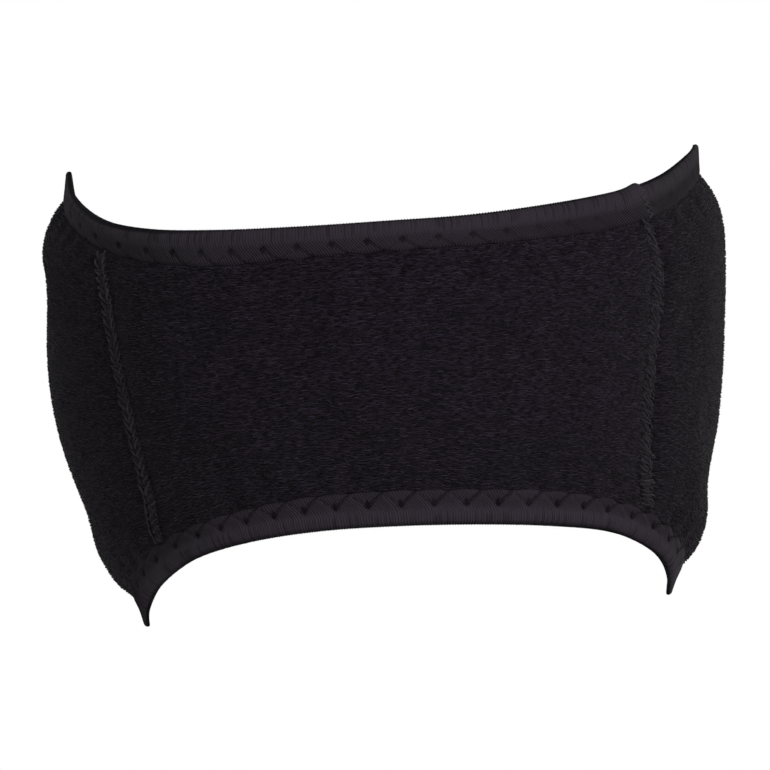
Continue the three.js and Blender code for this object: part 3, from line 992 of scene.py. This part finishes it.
def pressed_out(band, name, seams):
    """Simulates a pad's cover with padding behind it. Returns the folds that form, as moves of a
    grid of points: the broad shape stays as the pad's sizes give it."""
    first, last = band.pad_angle(seams, 0, 0), band.pad_angle(seams, 1, 0)
    columns = int(band.along(last - first) / CLOTH_STEP)
    face, back, _, _ = band.pad_grid(seams, columns, CLOTH_ROWS, SLACK)
    host = link_up(name + "_cover", closed_mesh(name + "_cover", face, back))
    free = np.zeros(face.shape[:2])
    free[1:-1, 3:-3] = 1
    held = np.concatenate([1 - free.ravel(), np.ones(free.size)])
    group = host.vertex_groups.new(name="sewn")
    group.add(np.nonzero(held)[0].tolist(), 1, "REPLACE")
    cloth = host.modifiers.new("cover", "CLOTH")
    settings = {
        "vertex_group_mass": "sewn",
        "use_pressure": True,
        "uniform_pressure_force": CLOTH_PRESSURE,
        "tension_stiffness": CLOTH_STIFFNESS,
        "compression_stiffness": CLOTH_STIFFNESS,
        "bending_stiffness": CLOTH_BENDING,
        "shrink_min": -CLOTH_GROWTH,
    }
    for setting, value in settings.items():
        setattr(cloth.settings, setting, value)
    cloth.settings.effector_weights.gravity = 0
    cloth.point_cache.frame_end = CLOTH_FRAMES
    for number in range(1, CLOTH_FRAMES + 1):
        bpy.context.scene.frame_set(number)
    graph = bpy.context.evaluated_depsgraph_get()
    settled = host.evaluated_get(graph).to_mesh()
    points = np.empty(len(settled.vertices) * 3)
    settled.vertices.foreach_get("co", points)
    host.evaluated_get(graph).to_mesh_clear()
    moved = points.reshape(-1, 3)[: free.size].reshape(face.shape) - face
    bpy.data.objects.remove(host)
    bpy.context.scene.frame_set(1)
    moved = moved - slow_part(moved)
    across, upward = (np.minimum(np.arange(n), np.arange(n)[::-1]) for n in moved.shape[:2])
    moved = moved * (ramp(across, 0, 4)[:, None] * ramp(upward, 2, 5)[None, :])[..., None]
    size = np.linalg.norm(moved, axis=-1, keepdims=True)
    return moved * np.minimum(1, LARGEST_MOVE / np.maximum(size, 1e-9))


def under_tab(band, angle, height):
    """Which points of the pads the hook tab hides."""
    tab = bpy.context.scene.strap_closure
    past = np.where(angle < 0, angle + 360, angle) - 180 - band.degrees(tab.shift)
    middle = (band.top(180.0) + band.bottom(180.0)) / 2 + tab.rise
    inset = 2 * MM
    within = np.abs(band.along(past)) < tab.tab_length / 2 - inset
    return within & (np.abs(height - middle) < tab.tab_height / 2 - inset)


def make_pad(band, name, finishes):
    node, seams, columns, rows = PADS[name]
    face, back, angle, height = band.pad_grid(seams, columns, rows, 0)
    moved = pressed_out(band, name, seams)
    # Rows of both grids crowd towards the tapes in the same way, so they match by number.
    across = cubic_weights(np.linspace(0, 1, columns), moved.shape[0])
    upward = cubic_weights(np.linspace(0, 1, rows), CLOTH_ROWS)
    face[:, 2:-2] += np.einsum("ci,ijk,rj->crk", across, moved[:, 2:-2], upward)
    mesh = closed_mesh(name, face, back)
    for finish in finishes:
        mesh.materials.append(finish)
    lining = np.ones(len(mesh.polygons), np.int32)
    lining[: (columns - 1) * (rows + 3)] = 0
    mesh.polygons.foreach_set("material_index", lining)
    step = np.gradient(face, axis=0)
    step /= np.linalg.norm(step, axis=-1, keepdims=True)
    cloth = np.stack([band.along(angle), height, np.zeros_like(angle)], axis=-1)
    # The pile is thinner on the far side, parted at the left seam and left out where it is covered.
    nap = 1 - 0.55 * ramp(np.abs(angle), 95, 115)
    nap[:, :3] = nap[:, -3:] = 0
    nap[under_tab(band, angle, height)] = 0
    nap *= ramp(band.along(np.abs(angle - band.seam("left", height))), 0.6 * MM, 2.2 * MM)
    set_attribute(mesh, "along", np.concatenate([step.reshape(-1, 3)] * 2))
    set_attribute(mesh, "cloth", np.concatenate([cloth.reshape(-1, 3)] * 2))
    set_attribute(mesh, "nap", np.concatenate([nap.ravel(), np.zeros(nap.size)]))
    pad = link_up(name, mesh)
    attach(pad, "root")
    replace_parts(pad, node)


def tape_runs(band):
    """Each tape: its node, its kind, and its first and last angle."""
    join = band.sizes.join_angle
    return {
        "top_tape": ("top_binding", "top", -band.far_end, join - band.half_gap),
        "top_tape_right": ("top_binding_right", "top_right", join + band.half_gap, band.far_end),
        "bottom_tape": ("bottom_binding", "bottom", -band.far_end, band.far_end),
    }


# Where each tape's zigzag turns away from the pad near the middle, how much its stitches are drawn
# out round the strap's sides, and how far along the band that starts.
FIRST_STITCH = {"top": 3.6 * MM, "top_right": 3.6 * MM, "bottom": 0.3 * MM}
DRAWN_OUT = 5 * MM
SIDE_START = 44 * MM

# The distance between a tape's columns of points, and where across it the points of one column lie.
COLUMN_STEP = 0.6 * MM
TAPE_PLACES = np.concatenate([
    np.linspace(0, 1, 12) ** 1.15,
    np.linspace(1, 2, 9)[1:],
    np.linspace(2, 3, 4)[1:],
])


def stitch_phase(band, look, kind, angle):
    """How far along its zigzag a place is, with whole numbers at the turning points away from the
    pad. The zigzag is drawn out round the strap's sides."""
    pitch = look.bottom_pitch if kind == "bottom" else look.top_pitch
    along = band.along(np.asarray(angle, float))
    drawn_out = DRAWN_OUT * ramp(np.abs(along) - SIDE_START, 2 * MM, 34 * MM)
    return (along - np.sign(along) * drawn_out - FIRST_STITCH[kind]) / pitch, pitch


def pull(kind, angle):
    """How hard the zigzag pulls at the tape: little near the right side of the upper tapes."""
    angle = np.asarray(angle, float)
    return np.ones_like(angle) if kind == "bottom" else 0.85 - 0.55 * ramp(angle, 5, 35)


# The tape's own relief: how deep the zigzag's arms and its turning points press it in, how high it
# swells on the fold and between the arms beside the pad, and how far its border is rolled under.
ARM_DEPTH, ARM_REACH = 0.12 * MM, 0.3 * MM
DIMPLE_DEPTH, DIMPLE_REACH = 0.45 * MM, 0.8 * MM
FOLD_RISE, SWELL_RISE = 0.14 * MM, 0.1 * MM
BORDER_DEPTH, BORDER_REACH = 0.3 * MM, 0.7 * MM


def tape_relief(band, look, kind, angle, place):
    """How far the tape stands off its plain fold, and how far its border is drawn in or out."""
    phase, pitch = stitch_phase(band, look, kind, angle)
    from_turn = np.abs(phase - np.round(phase))
    width = FLAT_WIDTH * MM
    down = np.clip(place, 0, 1) * width
    line = STITCH_LINE * width
    to_arm = np.abs(down - line * (1 - 2 * from_turn)) * 0.75
    arms = ARM_DEPTH * bell(to_arm, ARM_REACH) * (down < line + ARM_REACH)
    dimple = DIMPLE_DEPTH * bell(np.hypot(from_turn * pitch, (down - line) * 1.3), DIMPLE_REACH)
    pressed = ramp(1.25 - place, 0, 0.3) * (arms + dimple) * pull(kind, angle)
    swell = SWELL_RISE * bell(down - 1.1 * MM, 0.8 * MM) * (2 * from_turn)
    rolled_under = BORDER_DEPTH * (1 - ramp(down, 0, BORDER_REACH)) * (place < 1)
    lift = FOLD_RISE * bell(place - 1.0, 0.3) + swell - pressed - rolled_under
    swing = (0.24 + 0.3 * ramp(angle, 25, 60) if kind == "bottom" else 0.12) * MM
    scallop = (swing * np.cos(2 * math.pi * phase)) * (1 - ramp(place, 0.1, 0.9)) * (place < 2)
    return lift, scallop


# Where across each tape the painted shade on its outermost fold starts in the middle, how much further on it
# starts at the sides, and the angles between which that grows.
UPPER_FOLD = (1.22, 0.14, 55, 85)
FOLD_STARTS = {"top": UPPER_FOLD, "top_right": UPPER_FOLD, "bottom": (1.16, 0.17, 38, 60)}


def tape_marks(band, look, kind, angle, place):
    """What the tape's finish reads: place along its zigzag, place across it, and the painted shade on the
    outermost fold. The painted shade starts where the outermost outline is, which shifts across the tape by
    angle."""
    phase = stitch_phase(band, look, kind, angle)[0]
    start, growth, low, high = FOLD_STARTS[kind]
    first = start + growth * ramp(90 - np.abs(np.abs(angle) - 90), low, high)
    if kind == "top":
        at_join = bell(angle - band.sizes.join_angle, 8)
        first = first + 0.12 * at_join - 0.11 * ramp(-angle, 25, 48)
    fold_shade = ramp(place - first, 0, 0.17) * (1 - 0.4 * ramp(place, 1.9, 2.2))
    across = np.clip(place, 0, 1) + 0.4 * ramp(place, 1, 2)
    marks = np.stack(np.broadcast_arrays(phase, across, fold_shade), axis=-1)
    return marks.reshape(-1, 3), np.broadcast_to(pull(kind, angle), marks.shape[:-1]).ravel()


def make_tape(band, look, name, run, finish):
    _, kind, start, end = run
    columns = int(band.along(end - start) / COLUMN_STEP) + 1
    angle = np.linspace(start, end, columns)[:, None]
    place = TAPE_PLACES[None, :]
    lift, scallop = tape_relief(band, look, kind, angle, place)
    face = band.tape_point(kind, angle, place, lift, scallop)
    back = band.tape_point(kind, angle, place, np.full_like(lift, -band.sizes.tape), scallop)
    # The lower tape's points run upwards across it, so its columns run backwards to face it outwards.
    way = -1 if kind == "bottom" else 1
    mesh = closed_mesh(name, face[::way], back[::way])
    mesh.materials.append(finish)
    marks, hard = tape_marks(band, look, kind, angle[::way], place)
    set_attribute(mesh, "tape", np.concatenate([marks] * 2))
    set_attribute(mesh, "pull", np.concatenate([hard] * 2))
    return link_up(name, mesh)


# Where across a tape a rib's line has its points, as tape_point counts places. They are close
# together over the fold, where the colour changes.
RIB_PLACES = np.array([
    0.02, 0.16, 0.32, 0.48, 0.64, 0.82, 1.02, 1.15, 1.25, 1.35, 1.46, 1.7, 2.1, 2.9,
])


def rib_lines(band, look, kind, start, end):
    """One line for each rib, which leans over beside the pad and is straight over the fold. Ribs
    that lean past an end of their tape are cut there."""
    slant = look.rib_slant * (-1 if kind == "bottom" else 1)
    spare = band.degrees(look.rib_slant)
    count = int(band.along(end - start + 2 * spare) / look.rib_pitch)
    uneven = np.random.default_rng(51).normal(0, 0.03 * MM, count)
    middle = np.linspace(start - spare, end + spare, count) + band.degrees(uneven)
    angle = middle[:, None] + band.degrees((1 - ramp(RIB_PLACES, 0, 0.85)) * slant)[None, :]
    place = np.broadcast_to(RIB_PLACES[None, :], angle.shape)
    within = (angle > start) & (angle < end)
    within[within.sum(axis=1) < 2] = False
    lift, scallop = tape_relief(band, look, kind, angle, place)
    points = band.tape_point(kind, angle, place, lift - 0.02 * MM, scallop)
    marks, hard = tape_marks(band, look, kind, angle, place)
    lines = [line[kept] for line, kept in zip(points, within) if kept.any()]
    return lines, (marks[within.ravel()], hard[within.ravel()])


def zigzag_lines(band, look, kind, start, end):
    """One short line for each arm of the zigzag, sunk at both ends."""
    angles = np.linspace(start, end, 2000)
    phases = stitch_phase(band, look, kind, angles)[0]
    first, last = np.ceil(phases[0]), np.floor(phases[-1])
    lines = []
    share = np.linspace(0, 1, 6)
    for turn in np.arange(first, last + 1):
        for side in (-1, 1):
            phase = turn + side * 0.5 * share
            if phase.min() <= phases[0] or phase.max() >= phases[-1]:
                continue
            angle = np.interp(phase, phases, angles)
            place = STITCH_LINE * (1 - share * 0.93)
            lift, scallop = tape_relief(band, look, kind, angle, place)
            lift = lift + look.thread_radius * 0.6 - 0.25 * MM * (1 - pull(kind, angle))
            lift = lift - 0.35 * MM * bell(share, 0.12) - 0.3 * MM * bell(share - 1, 0.12)
            lines.append(band.tape_point(kind, angle, place, lift, scallop))
    return lines


# The zigzag at the join: its arms, how far they reach to both sides, and where across the tapes they
# start and end.
JOIN_ARMS = 9
JOIN_SIDE = 0.75 * MM
JOIN_PLACES = (0.1, 1.15)


def join_lines(band, look):
    """A small zigzag that sews the ends of the upper tapes together, from border to fold."""
    join = band.sizes.join_angle
    share = np.linspace(0, 1, 5)
    lines = []
    for number in range(JOIN_ARMS):
        side = 1 if number % 2 else -1
        angles = join + band.degrees(JOIN_SIDE) * side * (1 - 2 * share)
        places = JOIN_PLACES[0] + (number + share) * ((JOIN_PLACES[1] - JOIN_PLACES[0]) / JOIN_ARMS)
        lifts = look.thread_radius * (0.4 + 1.2 * np.sin(math.pi * share)) - 0.05 * MM
        lines.append(np.array([
            band.tape_point("top" if angle < join else "top_right", angle, place, lift)
            for angle, place, lift in zip(angles, places, lifts)
        ]))
    return lines


def make_threads(name, mesh, radius, sides, finish):
    host = link_up(name + "_lines", mesh)
    tree = bpy.data.node_groups.get("thread_along_lines") or thread_tree()
    return through_nodes(host, tree, {"Radius": radius, "Sides": sides, "Material": finish}, name)


def dress(piece):
    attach(piece, "root")
    return piece


def seam_line(band, side, count, lift, inset, shift=0.0):
    """Points along a seam, from one tape to the other, and the way out of the band at each."""
    low = band.bottom_border(band.seam(side, -band.half_side)) + inset
    high = band.top_border(band.seam(side, band.half_side)) - inset
    height = np.linspace(low, high, count)
    angle = band.seam(side, height) + band.degrees(shift)
    out = band.thickness(angle, height) + lift
    points = band.wall(angle, out, height)
    outward = band.wall(angle, out + 1 * MM, height) - points
    return points, outward / np.linalg.norm(outward, axis=-1, keepdims=True), height


# How deep the strip under a seam's threads lies in its groove, and how much deeper its ends lie,
# which slip in under the tapes.
RIDGE_SINK = 0.5 * MM
RIDGE_TUCK = 1.1 * MM


def make_ridge(band, name, side, width, rise, finish):
    """The soft raised strip under a seam's threads."""
    height = seam_line(band, side, 74, 0, -0.7 * MM)[2][:, None]
    share = np.linspace(-1, 1, 9)[None, :]
    angle = band.seam(side, height) + band.degrees(share * width / 2)
    ribbed = 0.12 * MM * np.cos(2 * math.pi * height / (2.1 * MM))
    tuck = RIDGE_TUCK * (1 - ramp(band.tape_distance(angle, height), -0.7 * MM, 0.9 * MM))
    floor = (band.thickness(angle, height) + band.relief(angle, height)) - (RIDGE_SINK + tuck)
    crown = (rise + ribbed + RIDGE_SINK) * np.clip(1 - share**2, 0, 1) ** 0.75 + 0.05 * MM
    face = band.wall(angle, floor + crown, height).transpose(1, 0, 2)
    back = band.wall(angle, floor, height).transpose(1, 0, 2)
    mesh = closed_mesh(name, face, back)
    mesh.materials.append(finish)
    return link_up(name, mesh)


class StrapOperator:
    """What the strap's operators share."""

    bl_options = {"REGISTER", "UNDO"}

    def band(self, context):
        return Band(context.scene.strap_band)


class STRAP_OT_add_pads(StrapOperator, bpy.types.Operator):
    """Add the three padded panels, pressed out by their padding"""

    bl_idname = "strap.add_pads"
    bl_label = "Add Pads"

    def execute(self, context):
        look = context.scene.strap_plush
        finishes = plush_ground_finish(look), lining_finish(look)
        for name in PADS:
            make_pad(self.band(context), name, finishes)
        return {"FINISHED"}


class STRAP_OT_add_pile(StrapOperator, bpy.types.Operator):
    """Cover the pads' outer sides with loops of thread"""

    bl_idname = "strap.add_pile"
    bl_label = "Add Pile"

    def execute(self, context):
        look = context.scene.strap_plush
        finish = plush_thread_finish(look)
        tree = pile_tree()
        for number, name in enumerate(PADS):
            pad = bpy.data.objects[name]
            host = link_up(name + "_ground", pad.data.copy())
            values = {
                "Spacing": look.spacing,
                "Length": look.loop_length,
                "Height": look.loop_height,
                "Wave": look.loop_wave,
                "Radius": look.thread_radius,
                "Seed": look.seed + number,
                "Material": finish,
            }
            dress(through_nodes(host, tree, values, name.replace("_pad", "_pile")))
        return {"FINISHED"}


class STRAP_OT_add_tapes(StrapOperator, bpy.types.Operator):
    """Add the folded edge tapes with their ribs and zigzag stitching"""

    bl_idname = "strap.add_tapes"
    bl_label = "Add Tapes"

    def execute(self, context):
        band = self.band(context)
        look = context.scene.strap_tape
        ground = tape_finish(look, "tape_ground", 0.36)
        ribs = tape_finish(look, "tape_ribs", 1.0)
        thread = thread_finish("tape_thread", look.thread)
        for name, run in tape_runs(band).items():
            node, kind, start, end = run
            tape = dress(make_tape(band, look, name, run, ground))
            points, (marks, hard) = rib_lines(band, look, kind, start, end)
            lines = line_mesh(name + "_ribs", points)
            set_attribute(lines, "tape", marks)
            set_attribute(lines, "pull", hard)
            rib = dress(make_threads(name + "_ribs", lines, look.rib_radius, 3, ribs))
            zigzag = line_mesh(name + "_stitches", zigzag_lines(band, look, kind, start, end))
            stitches = make_threads(name + "_stitches", zigzag, look.thread_radius, 5, thread)
            dress(stitches)
            if name == "top_tape":
                pale = thread_finish("join_thread", look.join_thread)
                zigzag = line_mesh("join_stitches", join_lines(band, look))
                join = make_threads("join_stitches", zigzag, look.thread_radius, 5, pale)
                dress(join)
            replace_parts(tape, node)
            # Flat, a tape is its two halves and the fold between them, and as long as its run.
            flat = 2 * FLAT_WIDTH * MM + math.pi * band.edge_thickness / 2, float(band.along(end - start))
            pads = ["right_pad"] if name == "top_tape_right" else list(PADS)
        return {"FINISHED"}


# By side: how bright the seam's threads and the strip under them are, and the strip's width and rise.
# The left braid is a little darker than its strip, and the right seam's threads are paler than theirs.
SEAM_SIDES = {"left": (0.82, 0.98, 3.8 * MM, 0.34 * MM), "right": (1.0, 0.72, 3.2 * MM, 0.3 * MM)}

# The rows of threads by side: their name and kind, to which side of the seam they lie, which way
# their strands swing, how high a strand rises and how loosely the strands lie.
SEAM_ROWS = {
    "left": (
        ("left_seam_row_1", "braid", -1, 1, 0.35 * MM, 0.65),
        ("left_seam_row_2", "braid", 1, -1, 0.35 * MM, 0.65),
        ("left_seam_fluff", "fluff", 0, 1, 0.3 * MM, 1.0),
    ),
    "right": (("right_seam_threads", "strand", 0, 1, 0.4 * MM, 1.0),),
}


class STRAP_OT_add_seams(StrapOperator, bpy.types.Operator):
    """Add the threads over the two upright seams"""

    bl_idname = "strap.add_seams"
    bl_label = "Add Seams"

    def execute(self, context):
        band = self.band(context)
        look = context.scene.strap_seam
        tree = strand_tree()
        for side, (bright, under, width, rise) in SEAM_SIDES.items():
            thread = thread_finish(side + "_seam_thread", scaled(look.thread, bright))
            ground = thread_finish(side + "_seam_ground", scaled(look.thread, under))
            ridge = make_ridge(band, side + "_seam_ridge", side, width, rise, ground)
            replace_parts(dress(ridge), side + "_seam")
            for name, kind, beside, way, lift, loose in SEAM_ROWS[side]:
                shift = beside * look.braid_half
                points, outward, _ = seam_line(band, side, 90, 0.1 * MM, 1.2 * MM, shift)
                line = line_mesh(name + "_line", [points])
                set_attribute(line, "out", outward)
                parts = ("Pitch", "Length", "Sway", "Radius")
                values = {part: getattr(look, f"{kind}_{part.lower()}") for part in parts}
                values |= {"Sway": way * values["Sway"], "Lift": lift, "Loose": loose, "Material": thread}
                dress(through_nodes(link_up(name + "_line", line), tree, values, name))
        return {"FINISHED"}


# How far the tab's stitching is in from its rim.
STITCH_INSET = 3.2 * MM


class STRAP_OT_add_closure(StrapOperator, bpy.types.Operator):
    """Add the hook tab behind the knee, with its stitching"""

    bl_idname = "strap.add_closure"
    bl_label = "Add Closure"

    def place(self, x, y, lift):
        """A point of the tab: its place from the tab's centre, and how far it is off the pads."""
        height = (self.wall.top(180.0) + self.wall.bottom(180.0)) / 2 + self.sizes.rise + y
        angle = 180 + self.wall.degrees(x + self.sizes.shift)
        under = np.where(angle > 180, angle - 360, angle)
        return self.wall.wall(angle, self.wall.thickness(under, height) + GAP + lift, height)

    def rim(self, gone, inset):
        """Places round the tab at a distance in from its rim, by how far they are along the rim."""
        radius = self.sizes.corner
        x, y = self.sizes.tab_length / 2 - radius, self.sizes.tab_height / 2 - radius
        arc = radius * math.pi / 2
        knots = np.cumsum([0, 2 * x, arc, 2 * y, arc, 2 * x, arc, 2 * y, arc])
        gone = np.mod(gone, knots[-1])
        turn = np.radians(np.interp(gone, knots, (90, 90, 0, 0, -90, -90, -180, -180, -270)))
        centre_x = np.interp(gone, knots, (-x, x, x, x, x, -x, -x, -x, -x))
        centre_y = np.interp(gone, knots, (y, y, y, -y, -y, -y, -y, y, y))
        reach = radius - inset
        return centre_x + reach * np.cos(turn), centre_y + reach * np.sin(turn)

    def execute(self, context):
        self.wall = self.band(context)
        self.sizes = sizes = context.scene.strap_closure
        corner = sizes.corner * (1 - np.cos(np.linspace(0, math.pi / 2, 14)))
        middle = np.linspace(sizes.corner, sizes.tab_length - sizes.corner, 60)[1:-1]
        along = np.concatenate([corner, middle, sizes.tab_length - corner[::-1]])[:, None]
        share = np.sin(np.linspace(-1, 1, 41) * math.pi / 2)[None, :]
        end = np.minimum(along, sizes.tab_length - along)
        into = sizes.corner - np.minimum(end, sizes.corner)
        trim = sizes.corner - np.sqrt(np.maximum(sizes.corner**2 - into**2, 0))
        x, y = np.broadcast_arrays(along - sizes.tab_length / 2, (sizes.tab_height / 2 - trim) * share)
        rim = np.minimum(end, (1 - np.abs(share)) * sizes.tab_height / 2)
        rounded = 0.9 * MM * (1 - ramp(rim, 0, 2 * MM))
        sewn = 0.3 * MM * bell(rim - STITCH_INSET, 0.8 * MM)
        soft = 0.2 * MM * lumps(along, y, 12 * MM, 61)
        face = self.place(x, y, sizes.tab_thickness - rounded - sewn + soft)
        back = self.place(x, y, np.zeros_like(rounded))
        mesh = closed_mesh("closure_tab", face, back)
        mesh.materials.append(tab_finish(sizes.cloth))
        tab = dress(link_up("closure_tab", mesh))
        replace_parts(tab, "hook_tab")
        thread = thread_finish("tab_thread", sizes.thread)
        for name, lines, radius in (
            ("closure_stitches", self.lockstitches(), 0.16 * MM),
            ("closure_overlock", self.overlock(), 0.2 * MM),
        ):
            piece = make_threads(name, line_mesh(name, lines), radius, 4, thread)
            dress(piece)
        return {"FINISHED"}

    def rim_length(self):
        sizes = self.sizes
        straight = 2 * (sizes.tab_length + sizes.tab_height - 4 * sizes.corner)
        return straight + 2 * math.pi * sizes.corner

    def lockstitches(self):
        """Stitches along the tab's rim and one row across it where it is sewn to the pad."""
        sizes = self.sizes
        total = self.rim_length()
        count = int(total / (sizes.stitch * 1.2))
        share = np.linspace(0, 1, 5)
        lift = sizes.tab_thickness - 0.25 * MM + 0.3 * MM * np.sin(math.pi * share)
        lines = []
        for number in range(count):
            gone = number * total / count + share * sizes.stitch
            lines.append(self.place(*self.rim(gone, STITCH_INSET), lift))
        reach = sizes.tab_height / 2 - STITCH_INSET - 1 * MM
        for low in np.arange(-reach, reach - sizes.stitch, sizes.stitch * 1.2):
            x = np.full_like(share, sizes.tab_length / 2 - 14 * MM)
            lines.append(self.place(x, low + share * sizes.stitch, lift + 0.1 * MM))
        return lines

    def overlock(self):
        """Threads that wrap the tab's cut rim, one beside the other and a little aslant."""
        total = self.rim_length()
        count = int(total / (1.15 * MM))
        inset = np.array([1.7, 1.1, 0.4, -0.1, -0.15]) * MM
        level = np.array([-0.25, 0.12, -0.15, -0.9, -1.7]) * MM
        slant = np.array([0, 0.15, 0.35, 0.5, 0.6]) * MM
        draw = np.random.default_rng(71)
        lines = []
        for number in range(count):
            gone = number * total / count + slant + draw.normal(0, 0.06 * MM)
            place = self.rim(gone, inset * draw.uniform(0.9, 1.1))
            lines.append(self.place(*place, self.sizes.tab_thickness + level))
        return lines


class STRAP_OT_add_studio(StrapOperator, bpy.types.Operator):
    """Add the floor, the light and the camera"""

    bl_idname = "strap.add_studio"
    bl_label = "Add Studio"

    def execute(self, context):
        look = context.scene.strap_studio
        scene = context.scene
        world = bpy.data.worlds.new("white_surround")
        world.use_nodes = True
        background = world.node_tree.nodes["Background"]
        background.inputs["Color"].default_value = (1, 1, 1, 1)
        background.inputs["Strength"].default_value = look.surround
        scene.world = world
        scene.view_settings.view_transform = "Standard"
        self.add_floor(look)
        self.add_light("key_light", look.key, (0.5, -0.95, 0.5))
        self.add_light("side_light", look.side, (1.15, 0.1, 0.1))
        self.add_camera(scene)
        return {"FINISHED"}

    def add_floor(self, look):
        turns = np.linspace(0, 2 * math.pi, 97)[:-1]
        bottom = CAD_BOX[0].z - look.floor_drop
        radius = look.floor_radius
        ring = [(radius * math.cos(turn), radius * math.sin(turn), bottom) for turn in turns]
        mesh = bpy.data.meshes.new("floor")
        mesh.from_pydata(ring, [], [list(range(len(ring)))])
        finish = Finish("floor_paint")
        shade = finish.smooth(finish.noise(finish.object_place(), 3, 2), 0.2, 0.8)
        mesh.materials.append(finish.finish(finish.mix(shade, [0.86] * 3, [0.9] * 3), 0.8))
        link_up("floor", mesh)

    def add_light(self, name, power, place):
        data = bpy.data.lights.new(name, "AREA")
        data.shape = "DISK"
        data.size = LIGHT_SIZE
        data.energy = power
        light = link_up(name, data)
        light.location = place
        light.rotation_mode = "QUATERNION"
        light.rotation_quaternion = (-light.location).to_track_quat("-Z", "Y")
        light.visible_camera = False

    def add_camera(self, scene):
        right = (math.cos(VIEW_ROLL), 0, -math.sin(VIEW_ROLL))
        up = (math.sin(VIEW_ROLL), 0, math.cos(VIEW_ROLL))
        data = bpy.data.cameras.new("camera")
        data.sensor_width = SENSOR_WIDTH
        data.lens = SENSOR_WIDTH * VIEW_DISTANCE / VIEW_WIDTH
        data.clip_start = 0.05
        camera = link_up("camera", data)
        camera.matrix_world = Matrix(list(zip(right, up, (0, -1, 0)))).to_4x4()
        back = (0, -VIEW_DISTANCE, 0)
        camera.location = [
            VIEW_OFFSET[0] * r + VIEW_OFFSET[1] * u + b for r, u, b in zip(right, up, back)
        ]
        scene.camera = camera


GROUPS = {
    "strap_band": BandSizes,
    "strap_plush": PlushLook,
    "strap_tape": TapeLook,
    "strap_seam": SeamLook,
    "strap_closure": ClosureSizes,
    "strap_studio": StudioLook,
}
OPERATORS = (
    STRAP_OT_add_pads,
    STRAP_OT_add_pile,
    STRAP_OT_add_tapes,
    STRAP_OT_add_seams,
    STRAP_OT_add_closure,
    STRAP_OT_add_studio,
)


class STRAP_PT_builder(bpy.types.Panel):
    """Buttons that build the strap, with the sizes and colours that they use"""

    bl_idname = "STRAP_PT_builder"
    bl_label = "Patella Strap"
    bl_space_type = "VIEW_3D"
    bl_region_type = "UI"
    bl_category = "Patella Strap"

    def draw(self, context):
        for operator in OPERATORS:
            self.layout.operator(operator.bl_idname)
        for name, group in GROUPS.items():
            box = self.layout.box()
            for prop in group.__annotations__:
                box.prop(getattr(context.scene, name), prop)


def register():
    for item in (*GROUPS.values(), *OPERATORS, STRAP_PT_builder):
        bpy.utils.register_class(item)
    for name, group in GROUPS.items():
        setattr(bpy.types.Scene, name, PointerProperty(type=group))


def unregister():
    for name in GROUPS:
        delattr(bpy.types.Scene, name)
    for item in reversed((*GROUPS.values(), *OPERATORS, STRAP_PT_builder)):
        bpy.utils.unregister_class(item)


def main():
    """Builds every piece in order."""
    register()
    bpy.ops.strap.add_pads()
    bpy.ops.strap.add_pile()
    bpy.ops.strap.add_tapes()
    bpy.ops.strap.add_seams()
    bpy.ops.strap.add_closure()
    bpy.ops.strap.add_studio()


if __name__ == "__main__":
    main()
